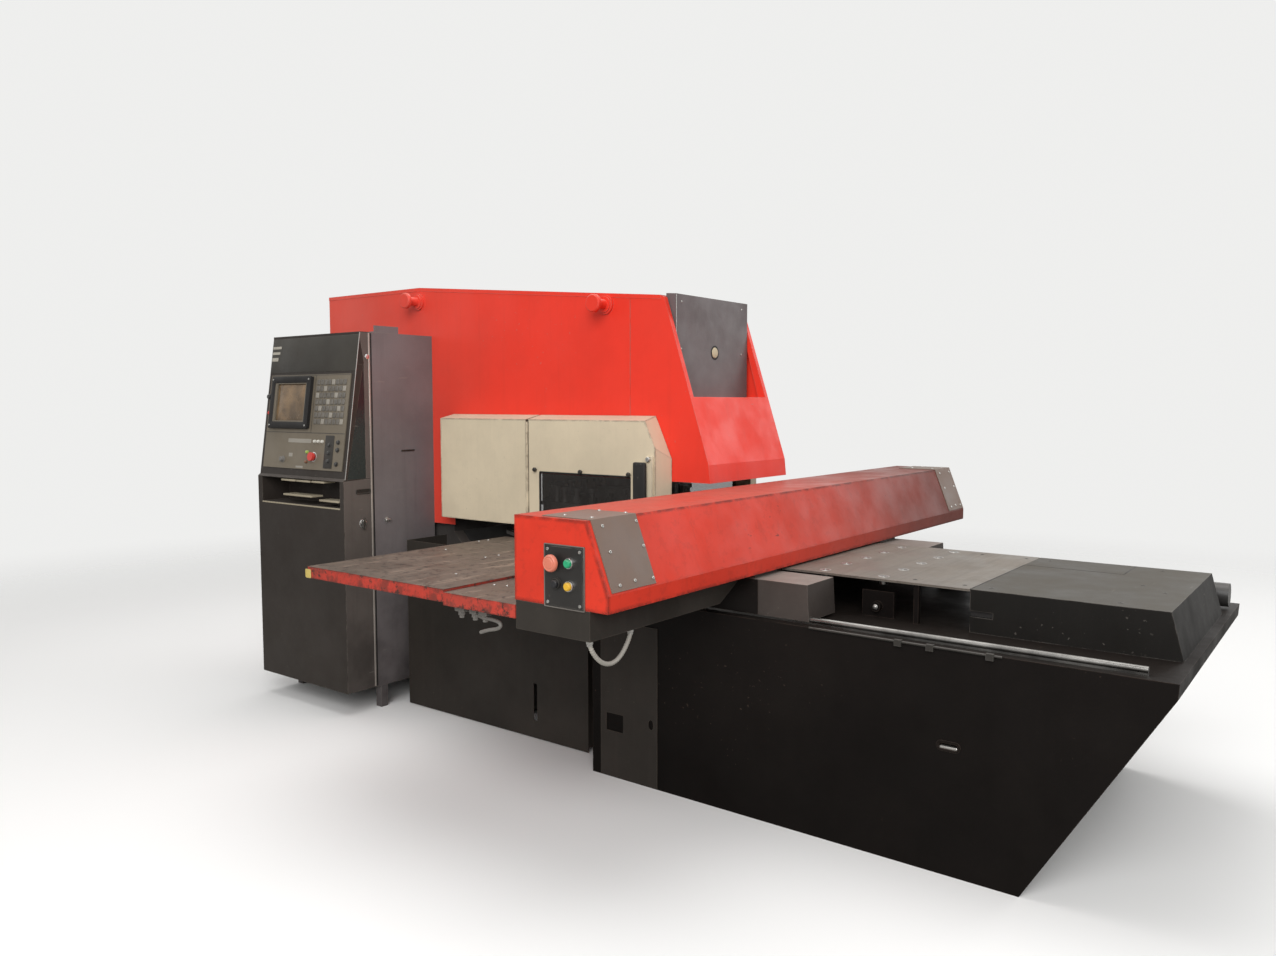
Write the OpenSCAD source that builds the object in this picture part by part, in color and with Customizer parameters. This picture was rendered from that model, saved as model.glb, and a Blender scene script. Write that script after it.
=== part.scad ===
// Turret punch press with a bridge beam carriage, millimetres, +Z up.
// Origin: on the floor, under the punching station. +Y runs to the rear, +X along the beam.

/* [Sheet level] */
// Height of the worktable surface
table_z = 880; // [860:1:900]
// Clear gap between the fixed plates and the beam above them
beam_gap = 8; // [6:1:12]
// Running gap between surfaces that slide or turn past each other
run_gap = 0.4; // [0.3:0.1:0.8]

/* [Front bed] */
// Width of the front bed across both ledges
bed_w = 1368; // [1340:2:1400]
// Reach of the bed in front of the punching station
bed_reach = 2175; // [2150:5:2250]
// How far the bed's foot is set back from its front top edge
bed_rake = 408; // [360:2:430]
// Depth of the upright strip at the front top edge
bed_brow = 46; // [30:1:60]
// Height of the bed's deck
deck_z = 733; // [715:1:745]
// Set-back of the bed's rear wall from the punching station
bed_back = 75; // [75:1:100]
// Plate thickness of the bed
bed_t = 12; // [8:1:16]

/* [Centre plates] */
// Width of the centre plate and the front cover
plate_w = 844; // [820:2:860]
// Distance of the seam between them in front of the punching station
seam_reach = 1508; // [1480:2:1540]
// Thickness of the centre plate
plate_t = 8; // [6:1:12]
// Length of the front cover's flat top
cover_len = 600; // [560:5:620]
// Lean of the front cover's front wall
cover_lean = 38; // [20:1:40]
// Sheet thickness of the formed covers
sheet_t = 3; // [2:0.5:4]

/* [Y guides] */
// Distance of each guide rod from the machine's centre
rod_x = 640; // [636:1:644]
// Radius of the guide rods
rod_r = 10; // [9:0.5:12]
// Height of the rod centres above the deck
rod_lift = 17; // [15:0.5:18]
// Width of each guide block
block_w = 202; // [190:1:206]
// Length of each guide block
block_len = 560; // [520:5:580]
// Front end of the guide blocks, in front of the punching station
block_reach = 1031; // [1020:1:1060]

/* [Beam] */
// Length of the carriage beam
beam_len = 3000; // [2900:10:3100]
// Rear face of the beam, in front of the punching station
beam_back = 446; // [440:1:460]
// Depth of the beam from its rear face to its front lip
beam_depth = 376; // [360:1:390]
// Height of the beam
beam_h = 268; // [250:1:280]
// How far the ridge sits behind the front lip
ridge_back = 84; // [70:1:95]
// Height of the front lip
lip_h = 52; // [40:1:60]
// Clearance between the duct box and the guide block beside it
duct_gap = 20; // [20:5:55]
// Height of the duct box
duct_h = 92; // [80:1:95]

/* [Side tables] */
// Length of each side table front to back
table_len = 775; // [740:5:790]
// Depth of the folded edge of the side tables
table_lip = 44; // [38:1:46]
// How far the table's outer edge stands back from the beam's end
table_inset = 2; // [0:1:50]
// How much lower the step piece lies
step_drop = 9; // [5:1:12]

/* [C frame] */
// Half the width over the frame's two cheeks
cheek_out = 290; // [280:1:296]
// Thickness of each cheek
cheek_t = 60; // [40:2:70]
// Front face of the throat's rear wall
throat_y = 1180; // [1150:5:1200]
// Rear edge of the cheeks
cheek_back = 1850; // [1820:5:1880]
// Clearance of the cheeks below the arm's top cover
cheek_clear = 12; // [8:1:30]
// Underside of the upper arm
arm_under = 1190; // [1184:1:1210]

/* [Turret] */
// Radius of the turret discs
turret_r = 372; // [365:1:374]
// Radius of the circle that the stations lie on
station_pcr = 320; // [312:1:322]
// Number of stations
stations = 24; // [16:2:24]
// Radius of the punch holders
punch_r = 22; // [18:1:24]
// Gap between the sheet level and the upper disc
feed_gap = 26; // [22:1:30]
// Thickness of the upper disc
upper_t = 140; // [120:2:150]
// Thickness of the lower disc
lower_t = 90; // [80:2:96]
// Height of the punch heads above the upper disc
head_h = 104; // [90:1:110]
// Stroke of the ram
ram_stroke = 28; // [24:1:30]

/* [Drive] */
// Height of the crank shaft
crank_z = 1650; // [1640:2:1670]
// Radius of the crank shaft
crank_r = 45; // [40:1:50]
// Eccentricity of the crank
crank_e = 14; // [12:1:16]
// Radius of the flywheel
fly_r = 296; // [280:1:300]
// Height of the main motor's shaft
motor_z = 960; // [930:5:1000]

/* [Arm covers] */
// Half the width over the arm covers
arm_x = 319; // [310:1:322]
// Front tip of the nose, in front of the punching station
nose_reach = 401; // [390:1:420]
// Underside of the nose
nose_z = 1172; // [1168:1:1182]
// Height of the nose's upright lip
nose_lip = 76; // [60:1:90]
// Height of the ledge above the nose slope
ledge_z = 1528; // [1500:2:1550]
// Top of the arm at its front
arm_front_z = 1955; // [1940:5:1970]
// Top of the arm at its rear
arm_rear_z = 2092; // [2070:2:2110]
// Rear face of the arm
arm_back = 2150; // [2120:5:2180]

/* [Turret guard] */
// Half the width over the turret guards
guard_x = 412; // [404:1:420]
// Underside of the turret guards
guard_z = 937; // [930:1:945]
// Top of the turret guards at their outer face
guard_top = 1428; // [1400:2:1450]
// Line of the door hinge behind the punching station
hinge_y = 543; // [520:1:560]
// Rear end of the turret guards
guard_back = 1134; // [1110:2:1150]
// Front end of the turret doors, in front of the station
door_reach = 188; // [180:1:196]

/* [Control cabinet] */
// Parting line between the cabinet and its console door
cab_part = 704; // [690:1:730]
// Outer face of the console door
cab_out = 872; // [850:1:890]
// Near end of the cabinet behind the station
cab_near = 1296; // [1280:2:1320]
// Width of the cabinet
cab_w = 716; // [680:2:730]
// Ground clearance of the cabinet
cab_z = 110; // [100:1:130]
// Top of the cabinet
cab_top = 1842; // [1800:2:1880]
// Lower edge of the sloped console
console_z = 1140; // [1120:1:1160]
// How far the sloped console leans back at its top
console_lean = 112; // [100:1:118]

/* [Hidden] */
$fn = 48;

// Extrudes a profile drawn in Y and Z along X, from x0 to x1.
module slab_x(x0, x1) {
    translate([x0, 0, 0]) rotate([90, 0, 90]) linear_extrude(x1 - x0) children();
}

// Extrudes a profile drawn in X and Z along Y, from y0 to y1.
module slab_y(y0, y1) {
    translate([0, y1, 0]) rotate([90, 0, 0]) linear_extrude(y1 - y0) children();
}

// A box given by its lowest and highest corners.
module block(lo, hi) {
    translate(lo) cube(hi - lo);
}

// A round bar along Y.
module bar_y(x, z, r, y0, y1) {
    translate([x, y1, z]) rotate([90, 0, 0]) cylinder(r = r, h = y1 - y0);
}

// A round bar along X.
module bar_x(y, z, r, x0, x1) {
    translate([x0, y, z]) rotate([0, 90, 0]) cylinder(r = r, h = x1 - x0);
}

// The children and their mirror image across the machine's centre plane.
module both_sides() {
    children();
    mirror([1, 0, 0]) children();
}

// Turns the children to the place of each station around the turret.
module at_stations(first, last) {
    for (i = [first:last])
        translate([0, turret_y, 0]) rotate(i * 360 / stations) translate([0, -station_pcr, 0])
            children();
}

// Points along an arc about [x, 0].
function arc_pts(r, x, a0, a1, n) =
    [for (i = [0:n]) let (t = a0 + (a1 - a0) * i / n) [x + r * cos(t), r * sin(t)]];

// The area inside a band that runs around two wheels on the local X axis.
module loop_2d(r1, r2, d) {
    a = acos((r1 - r2) / d);
    polygon(concat(arc_pts(r1, 0, a, 360 - a, 72), arc_pts(r2, d, -a, a, 24)));
}

turret_y = station_pcr;
upper_z = table_z + feed_gap;
upper_top = upper_z + upper_t;
head_z = upper_top + head_h;
lower_top = table_z - 4;
lower_z = lower_top - lower_t;
beam_z = table_z + beam_gap;
beam_top = beam_z + beam_h;
lip_y = -beam_back - beam_depth;
ridge_y = lip_y + ridge_back;
beam_x = beam_len / 2;

// Outline of the beam's cover, set in by t all round except at the open rear.
module beam_outline(t) {
    polygon([
        [-beam_back, beam_z + t], [lip_y + t, beam_z + t], [lip_y + t, beam_z + lip_h],
        [ridge_y + t * 0.6, beam_top - t], [-beam_back, beam_top - t]
    ]);
}

/* The machine frame and bed */

lower_deck_z = lower_z - 30;
frame_foot_z = 20;
crank_bore = crank_r + run_gap;
arm_break_y = 1384;
upper_shaft_r = 70;
lower_shaft_r = 60;
ram_r = 62;
housing_z = arm_under + 10;
housing_top = 1400;
drive_y = turret_y + 690;
cheek_front = -150;
slope = (arm_rear_z - arm_front_z) / (arm_break_y + 150);
cheek_top = arm_front_z + (1300 + 150) * slope - sheet_t - cheek_clear;
cheek_top_front = arm_front_z + 60 * slope - sheet_t - cheek_clear;

// One cheek of the C frame, seen from the side, with its lightening holes.
module cheek_2d() {
    difference() {
        polygon([
            [-bed_back, frame_foot_z], [cheek_back, frame_foot_z], [cheek_back, cheek_top],
            [1300, cheek_top], [cheek_front + 60, cheek_top_front], [cheek_front, cheek_top_front - 145],
            [cheek_front, arm_under], [throat_y - 120, arm_under], [throat_y, arm_under - 120],
            [throat_y, lower_deck_z + 90], [throat_y - 90, lower_deck_z], [-bed_back, lower_deck_z]
        ]);
        for (y = [620, 900]) translate([y, 1440]) circle(r = 70);
        translate([1500, 420]) circle(r = 150);
        translate([1500, 1350]) circle(r = 120);
        translate([600, 380]) circle(r = 140);
    }
}

cheek_in = cheek_out - cheek_t;
standoffs = [
    [-60, 1300], [-60, 1700], [560, 1300], [560, 1850], [1250, 1300], [1250, 1900], [1780, 1300],
    [1780, 1900], [1780, 950]
];

module c_frame() {
    color("#3a3634") difference() {
        union() {
            both_sides() slab_x(cheek_in, cheek_out) cheek_2d();
            block([-cheek_in, cheek_front, housing_z], [cheek_in, 560, housing_top]);
            block([-cheek_in, -bed_back, lower_deck_z - 110], [cheek_in, throat_y - 90, lower_deck_z]);
            block([-cheek_in, throat_y, lower_deck_z + 90], [cheek_in, throat_y + 50, arm_under - 120]);
            for (y = [80, 1800])
                block([-cheek_in, y - 40, crank_z - 130], [cheek_in, y + 40, crank_z + 130]);
            block([-cheek_in, -bed_back + 15, frame_foot_z], [cheek_in, cheek_back - 15, frame_foot_z + 40]);
            block([-cheek_in, 1500, motor_z - 170], [cheek_in, cheek_back - 20, motor_z - 140]);
            translate([0, 0, lower_deck_z - 20]) cylinder(r = 50, h = lower_z - 1 - lower_deck_z + 20);
            cylinder(r = 60, h = frame_foot_z + 10);
            both_sides() for (p = standoffs) bar_x(p[0], p[1], 14, cheek_out - 5, arm_x - sheet_t);
        }
        translate([0, 0, housing_z - 1]) cylinder(r = ram_r + run_gap, h = housing_top - housing_z + 2);
        translate([0, turret_y, housing_z - 1])
            cylinder(r = upper_shaft_r + run_gap, h = housing_top - housing_z + 2);
        translate([0, turret_y, lower_deck_z - 120]) cylinder(r = lower_shaft_r + run_gap, h = 130);
        translate([0, drive_y, lower_deck_z - 120]) cylinder(r = 24, h = 130);
        translate([0, 0, lower_deck_z - 120]) cylinder(r = 26, h = 240);
        bar_y(0, crank_z, crank_bore, 0, 1900);
    }
}

bed_front = -bed_reach;
bed_foot = bed_front + bed_rake;
post_x = plate_w / 2 - 20;

module bed_2d(t) {
    polygon([
        [-bed_back - t, t], [bed_foot + t * 1.2, t], [bed_front + 3 + t, deck_z - bed_brow],
        [bed_front + t, deck_z - t], [-bed_back - t, deck_z - t]
    ]);
}

module front_bed() {
    color("#2e2a28") difference() {
        union() {
            difference() {
                slab_x(-bed_w / 2, bed_w / 2) bed_2d(0);
                slab_x(-bed_w / 2 + bed_t, bed_w / 2 - bed_t) bed_2d(bed_t);
            }
            both_sides() for (y = [-seam_reach + 190, -560, -200])
                block([post_x - 9, y - 9, deck_z], [post_x + 9, y + 9, table_z - plate_t]);
            both_sides() block([post_x - 30, -1225, deck_z], [post_x - 20, -1105, deck_z + 95]);
            both_sides() bar_x(-1165, deck_z + 40, 18, post_x - 20, post_x + 2);
        }
        slab_x(-bed_w / 2 + 60, bed_w / 2 - 60)
            polygon([[-bed_back - 120, -1], [bed_foot + 150, -1], [bed_foot + 150, bed_t + 1],
                     [-bed_back - 120, bed_t + 1]]);
        both_sides() slab_x(bed_w / 2 - bed_t - 1, bed_w / 2 + 1)
            translate([bed_front + 635, 421]) scale([2.7, 1]) circle(r = 13);
    }
}

panel_x = bed_w / 2;
skirt_x = 544;
skirt_top = table_z - table_lip - 10;

// Thin side panels below the tables: one at each side of the bed's rear, one along the frame.
module lower_side_panels() {
    color("#332f2d") both_sides() {
        difference() {
            union() {
                slab_x(panel_x, panel_x + sheet_t)
                    polygon([[-403, 4], [-120, 4], [-120, 636], [-403, 636]]);
            }
            slab_x(panel_x - 1, panel_x + sheet_t + 1) {
                polygon([[-235, 190], [-150, 190], [-150, 262], [-235, 262]]);
                translate([-372, 252]) scale([0.6, 1]) circle(r = 20);
            }
        }
        difference() {
            union() {
                slab_x(skirt_x, skirt_x + sheet_t)
                    polygon([[66, 4], [1240, 4], [1240, skirt_top], [66, skirt_top]]);
                for (y = [66, 1240 - sheet_t])
                    block([cheek_out, y, 24], [skirt_x, y + sheet_t, skirt_top]);
            }
            slab_x(skirt_x - 1, skirt_x + sheet_t + 1)
                polygon([[364, 84], [386, 84], [386, 253], [364, 253]]);
        }
    }
}

foot_x = cheek_out - 30;
foot_spots = [[-foot_x, 200], [-foot_x, 1700], [foot_x, 200], [foot_x, 1700]];

module leveling_feet() {
    color("#4a4644") for (p = foot_spots) translate([p[0], p[1], 0]) {
        cylinder(r = 70, h = frame_foot_z - 6);
        cylinder(r = 22, h = frame_foot_z);
    }
}

/* Plates, front cover and guide rods */

ball_pitch = 180;
ball_rows = [-1180, -950];
ball_cols = [for (i = [-2:2]) i * ball_pitch - 10];

module centre_plate() {
    color("#8d8985") difference() {
        block([-plate_w / 2, -seam_reach + 1, table_z - plate_t], [plate_w / 2, -80, table_z]);
        for (x = ball_cols, y = ball_rows)
            translate([x, y, table_z - plate_t - 1]) cylinder(r = 15, h = plate_t + 2);
    }
}

module ball_transfers() {
    color("#c9c9c6") for (x = ball_cols, y = ball_rows) translate([x, y, 0]) {
        translate([0, 0, table_z - 26]) cylinder(r = 15 - 0.2, h = 27);
        translate([0, 0, table_z - 7]) sphere(r = 10);
    }
}

cover_y1 = -seam_reach - 1;
cover_y0 = cover_y1 - cover_len;

module front_cover() {
    color("#4b4745") difference() {
        slab_x(-plate_w / 2, plate_w / 2) polygon([
            [cover_y1, deck_z], [cover_y0 - cover_lean, deck_z], [cover_y0, table_z], [cover_y1, table_z]
        ]);
        slab_x(-plate_w / 2 + sheet_t, plate_w / 2 - sheet_t) polygon([
            [cover_y1 + 1, deck_z - 1], [cover_y0 - cover_lean + sheet_t, deck_z - 1],
            [cover_y0 + sheet_t, table_z - sheet_t], [cover_y1 + 1, table_z - sheet_t]
        ]);
        both_sides() block([plate_w / 2 - 10, cover_y1 - 76, table_z - 93],
                           [plate_w / 2 + 1, cover_y1 + 1, table_z - 73]);
    }
}

rod_z = deck_z + rod_lift;
rod_front = -bed_reach + 85;
rod_back = -140;

module y_rails() {
    color("#c6c4c0") both_sides() {
        bar_y(rod_x, rod_z, rod_r, rod_front, rod_back);
        block([rod_x - 3, rod_front, deck_z], [rod_x + 3, rod_back, rod_z - rod_r + 2]);
    }
}

oil_x = panel_x + 6;

module oil_line() {
    color("#8d8a84") {
        bar_y(-oil_x, deck_z, 4, -1700, -1050);
        for (y = [-1664, -1476, -1370])
            block([-oil_x - 8, y - 12, deck_z - 14], [-panel_x, y + 12, deck_z + 7]);
    }
}

/* The beam carriage */

block_x1 = rod_x + rod_r + 5;
block_z = rod_z - 6;
block_top = table_z - 8;
screw_x = 545;
screw_z = 785;
screw_r = 16;

module guide_block() {
    difference() {
        union() {
            slab_x(block_x1 - block_w, block_x1) polygon([
                [-block_reach, block_z], [-block_reach + 8, block_top],
                [-block_reach + block_len, block_top],
                [-block_reach + block_len, block_z]
            ]);
            block([block_x1 - block_w + 20, lip_y + 20, block_top - 1],
                  [block_x1 - 20, -block_reach + block_len, beam_z]);
            block([block_x1 - 60, -block_reach + block_len - 2, step_z - table_lip - 32],
                  [block_x1 - 18, table_y0 - 2, step_z - table_lip]);
        }
        bar_y(rod_x, rod_z, rod_r + run_gap, -block_reach - 1, -block_reach + block_len + 1);
        block([rod_x - 3 - 1, -block_reach - 1, block_z - 1],
              [rod_x + 3 + 1, -block_reach + block_len + 1, rod_z]);
    }
}

module guide_blocks() {
    color("#6c6662") difference() {
        both_sides() guide_block();
        bar_y(screw_x, screw_z, screw_r + run_gap, -block_reach - 1, -block_reach + block_len + 1);
    }
}

module y_screw() {
    color("#b5b3af") bar_y(screw_x, screw_z, screw_r, -bed_reach + 116, -248);
}

panel_y0 = -735;
panel_y1 = -574;
panel_z0 = table_z + 4;
panel_z1 = table_z + 198;

module beam_cover() {
    color("#d8412f") difference() {
        slab_x(-beam_x, beam_x) beam_outline(0);
        slab_x(-beam_x + sheet_t, beam_x - sheet_t) difference() {
            beam_outline(sheet_t);
        }
        block([-beam_x + sheet_t, -beam_back - 2, beam_z + sheet_t],
              [beam_x - sheet_t, -beam_back + 1, beam_top - sheet_t]);
        block([-beam_x - 1, panel_y0 + 12, panel_z0 + 20],
              [-beam_x + sheet_t + 1, panel_y1 - 12, panel_z1 - 12]);
    }
}

spine_y0 = -690;
spine_y1 = -580;
spine_z0 = beam_z + sheet_t;
spine_z1 = beam_top - 30;
rail_zs = [spine_z0 + 45, spine_z1 - 45];
rail_h = 30;

// A thin plate wrapped over the beam's ridge.
module saddle_2d(t) {
    fall = 0.97 * [-ridge_back, lip_h - beam_h];
    out = t * [lip_h - beam_h, ridge_back] / norm([beam_h - lip_h, ridge_back]);
    polygon([
        [-545, beam_top], [-545, beam_top + t], [ridge_y + out[0], beam_top + t],
        [ridge_y, beam_top] + fall + out, [ridge_y, beam_top] + fall, [ridge_y, beam_top]
    ]);
}

module saddle_plates() {
    color("#857a70") {
        slab_x(-beam_x + 20, -beam_x + 236) saddle_2d(sheet_t);
        slab_x(beam_x - 210, beam_x - 4) saddle_2d(sheet_t);
    }
}

module beam_frame() {
    color("#5a5350") difference() {
        union() {
            block([-beam_x + 60, spine_y0, spine_z0], [beam_x - 60, spine_y1, spine_z1]);
            block([-beam_x + 108, spine_y1 - 1, x_screw_z - 26],
                  [-beam_x + 128, x_screw_y + 26, x_screw_z + 26]);
        }
        block([-beam_x + 59, spine_y0 + 12, spine_z0 + 12], [beam_x - 59, spine_y1 - 12, spine_z1 - 12]);
        bar_x(x_screw_y, x_screw_z, x_screw_r + run_gap, -beam_x + 107, -beam_x + 129);
    }
}

rail_head = 15;
rail_neck = 9;

// The rails' T section in Y and Z, grown all round by g.
module rail_2d(g) {
    translate([spine_y1, 0]) {
        translate([g, -rail_neck - g]) square([12, (rail_neck + g) * 2]);
        translate([12 - g, -rail_head - g]) square([12 + g * 2, (rail_head + g) * 2]);
    }
}

module x_rails() {
    color("#bdbbb7") for (z = rail_zs) slab_x(-beam_x + 90, beam_x - 90) translate([0, z]) rail_2d(0);
}

x_screw_y = -540;
x_screw_z = (rail_zs[0] + rail_zs[1]) / 2;
x_screw_r = 14;

module x_screw() {
    color("#b5b3af") bar_x(x_screw_y, x_screw_z, x_screw_r, -beam_x + 100, beam_x - 228);
}

module x_servo() {
    color("#2c2c2e") difference() {
        union() {
            block([beam_x - 238, spine_y1, x_screw_z - 50], [beam_x - 226, x_screw_y + 50, x_screw_z + 50]);
            bar_x(x_screw_y, x_screw_z, 40, beam_x - 227, beam_x - 96);
        }
        bar_x(x_screw_y, x_screw_z, x_screw_r + run_gap, beam_x - 239, beam_x - 226);
    }
}

carriage_len = 900;
carriage_y0 = spine_y1 + 24 + run_gap;
carriage_y1 = -beam_back - 6;
clamp_x = 300;
clamp_w = 110;
jaw_y = -380;
jaw_z = table_z + 46;
clamp_tip = -270;

module x_carriage() {
    color("#77716c") difference() {
        union() {
            block([-carriage_len / 2, carriage_y0, spine_z0 + 4],
                  [carriage_len / 2, carriage_y1, spine_z1 - 6]);
            for (x = [-380, 380], z = rail_zs)
                block([x - 60, spine_y1 + 4, z - 28], [x + 60, carriage_y0 + 1, z + 28]);
            for (x = [-clamp_x, clamp_x]) {
                block([x - clamp_w / 2, carriage_y1 - 1, beam_z + 4],
                      [x + clamp_w / 2, jaw_y - 30, beam_z + 70]);
                block([x - clamp_w / 2, jaw_y - 30, beam_z - 4], [x + clamp_w / 2, clamp_tip, beam_z + 4]);
                block([x - clamp_w / 2, jaw_y - 30, beam_z + 4], [x + clamp_w / 2, jaw_y - 22, beam_z + 70]);
                for (s = [-1, 1])
                    block([x + s * 45 - 8, jaw_y - 22, beam_z + 4],
                          [x + s * 45 + 8, jaw_y + 20, beam_z + 62]);
                bar_x(jaw_y, jaw_z, 7, x - 50, x + 50);
            }
        }
        for (z = rail_zs)
            slab_x(-carriage_len / 2 - 1, carriage_len / 2 + 1) translate([0, z]) rail_2d(run_gap);
        bar_x(x_screw_y, x_screw_z, x_screw_r + run_gap, -carriage_len / 2 - 1, carriage_len / 2 + 1);
    }
}

// The upper jaw of a sheet clamp, turning on the cross pin.
module jaw(x) {
    difference() {
        slab_x(x - 36, x + 36) difference() {
            polygon([
                [jaw_y - 16, jaw_z - 14], [jaw_y + 20, jaw_z - 18], [clamp_tip - 16, beam_z + 5],
                [clamp_tip, beam_z + 5], [clamp_tip, beam_z + 20], [jaw_y + 12, jaw_z + 14],
                [jaw_y - 16, jaw_z + 16]
            ]);
            translate([jaw_y, jaw_z]) circle(r = 7 + run_gap);
        }
    }
}

module left_jaw() { color("#8b867f") jaw(-clamp_x); }
module right_jaw() { color("#8b867f") jaw(clamp_x); }

duct_y0 = -753;
duct_y1 = -beam_back - 4;
duct_end = -block_x1 - duct_gap;

module lower_box() {
    color("#3b3735") slab_y(duct_y0, duct_y1) polygon([
        [-beam_x, beam_z], [-beam_x, beam_z - duct_h], [duct_end - 115, beam_z - duct_h],
        [duct_end, beam_z - duct_h + 62], [duct_end, beam_z]
    ]);
}

/* The short conduit that hangs in a loop under the duct box */

conduit_r = 7;
conduit_pts = [
    [-1486, -740, 796], [-1486, -740, 785], [-1479, -742, 766], [-1466, -743, 748], [-1450, -744, 732],
    [-1430, -744, 719], [-1408, -744, 711], [-1386, -744, 709], [-1364, -744, 713], [-1344, -743, 722],
    [-1326, -742, 735], [-1311, -741, 750], [-1297, -740, 767], [-1289, -740, 785], [-1289, -740, 796]
];

function dir_at(p, i) = let (a = p[max(i - 1, 0)], b = p[min(i + 1, len(p) - 1)]) (b - a) / norm(b - a);
function ring_at(p, i, r, n) =
    let (d = dir_at(p, i), s = [0, 1, 0] - d * d[1], u = s / norm(s), v = cross(d, u))
    [for (k = [0:n - 1]) p[i] + r * (u * cos(360 * k / n) + v * sin(360 * k / n))];

// A tube of n sides through the points p, with flat ends.
module tube_along(p, r, n) {
    rings = [for (i = [0:len(p) - 1]) each ring_at(p, i, r, n)];
    m = len(p);
    polyhedron(rings, concat(
        [for (i = [0:m - 2], k = [0:n - 1])
            [i * n + k, i * n + (k + 1) % n, (i + 1) * n + (k + 1) % n, (i + 1) * n + k]],
        [[for (k = [0:n - 1]) n - 1 - k], [for (k = [0:n - 1]) (m - 1) * n + k]]
    ));
}

module conduit_loop() {
    color("#b9b4ab") translate([1500 - beam_x, 0, beam_z - duct_h - 796])
        tube_along(conduit_pts, conduit_r, 10);
}

table_x1 = beam_x - table_inset;
table_x0 = plate_w / 2 + 18;
table_y0 = -110;
table_y1 = table_y0 + table_len - 4;
step_z = table_z - step_drop;

// A side table: a folded tray with stiffening ribs, and the lower step piece that joins it to the beam.
module side_table() {
    difference() {
        block([table_x0, table_y0, table_z - table_lip], [table_x1, table_y1, table_z]);
        block([table_x0 + sheet_t, table_y0 + 10, table_z - table_lip - 1],
              [table_x1 - sheet_t, table_y1 - sheet_t, table_z - 6]);
    }
    for (y = [table_y0 + 190, table_y0 + 390, table_y0 + 590])
        block([table_x0 + sheet_t, y - 4, table_z - 36], [table_x1 - sheet_t, y + 4, table_z - 6]);
    difference() {
        block([table_x0, -beam_back, step_z - table_lip], [beam_x, table_y0, step_z]);
        block([table_x0 + sheet_t, -beam_back + 8, step_z - table_lip - 1],
              [beam_x - sheet_t, table_y0 - 8, step_z - 6]);
    }
}

module side_tables() {
    color("#7d766e") both_sides() side_table();
}

/* Buttons on the beam's end */

module button_panel() {
    color("#24211f") difference() {
        union() {
            block([-beam_x - 5, panel_y0 + 6, panel_z0 + 6], [-beam_x, panel_y1 - 6, panel_z1 - 6]);
            difference() {
                block([-beam_x - 3, panel_y0, panel_z0], [-beam_x, panel_y1, panel_z1]);
                block([-beam_x - 4, panel_y0 + 7, panel_z0 + 7], [-beam_x + 1, panel_y1 - 7, panel_z1 - 7]);
            }
            for (p = button_spots) bar_x(p[0], p[1], p[2] + 3, -beam_x - 14, -beam_x - 5);
        }
        for (p = button_spots) bar_x(p[0], p[1], p[2], -beam_x - 15, -beam_x + 1);
    }
}

button_spots = [[-616, 1023, 12], [-680, 1026, 13], [-628, 960, 13], [-680, 957, 13]];
button_travel = 5;

// A round push button in the panel: its stem, and a cap that may be a wide mushroom.
module push_button(i, cap_r, cap_h) {
    p = button_spots[i];
    bar_x(p[0], p[1], p[2] - run_gap, -beam_x - 14 - button_travel - 2, -beam_x - 1);
    translate([-beam_x - 14 - button_travel - 1, p[0], p[1]]) rotate([0, -90, 0])
        cylinder(r1 = cap_r, r2 = cap_r * 0.8, h = cap_h);
}

module stop_button() { color("#d8604f") push_button(0, 21, 14); }
module start_button() { color("#2f9a6c") push_button(1, 12, 4); }
module mode_button() { color("#2a2626") push_button(2, 12, 4); }
module reset_button() { color("#d9a520") push_button(3, 12, 4); }

/* Ram, crank and main drive */

big_end_r = 92;
big_end_z = crank_z + ram_stroke / 2;
wrist_z = 1350;
pulley_y0 = 1900;
pulley_y1 = 1985;
ecc_r = 58;

module ram() {
    color("#a8a49e") {
        difference() {
            union() {
                translate([0, 0, head_z + 1]) cylinder(r = 36, h = housing_z - head_z);
                translate([0, 0, housing_z - 15]) cylinder(r = ram_r, h = wrist_z + 44 - housing_z + 15);
            }
            block([-70, -26, wrist_z - 44], [70, 26, wrist_z + 45]);
        }
        bar_y(0, wrist_z, 16, -ram_r + 12, ram_r - 12);
    }
}

module connecting_rod() {
    color("#8f8b86") slab_y(-25, 25) difference() {
        union() {
            translate([0, big_end_z]) circle(r = big_end_r + 26, $fn = 96);
            translate([0, wrist_z]) circle(r = 38);
            polygon([[-34, wrist_z], [34, wrist_z], [70, big_end_z - 70], [-70, big_end_z - 70]]);
        }
        translate([0, big_end_z]) circle(r = big_end_r, $fn = 96);
        translate([0, wrist_z]) circle(r = 16 + run_gap);
    }
}

module crank_shaft() {
    color("#9c9892") {
        bar_y(0, crank_z, crank_r, 0, pulley_y1 + 20);
        bar_y(0, crank_z, crank_r - 8, -60, 1);
        translate([0, 0, crank_e]) bar_y(0, crank_z, ecc_r, -32, 32);
    }
}

module flywheel() {
    color("#55504c") difference() {
        union() {
            bar_y(0, crank_z, fly_r, pulley_y0, pulley_y1);
        }
        bar_y(0, crank_z, crank_r + 0.2, pulley_y0 - 1, pulley_y1 + 1);
        bar_y(0, crank_z, fly_r - 50, pulley_y1 - 30, pulley_y1 + 1);
        for (y = belt_ys) translate([0, y, crank_z]) rotate([90, 0, 0]) difference() {
            cylinder(r = fly_r + 1, h = belt_w, center = true);
            cylinder(r = fly_r - 8, h = belt_w + 2, center = true, $fn = 96);
        }
    }
}

belt_w = 14;
belt_ys = [pulley_y0 + 18, pulley_y0 + 42, pulley_y0 + 66];
pulley_r = 80;

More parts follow.
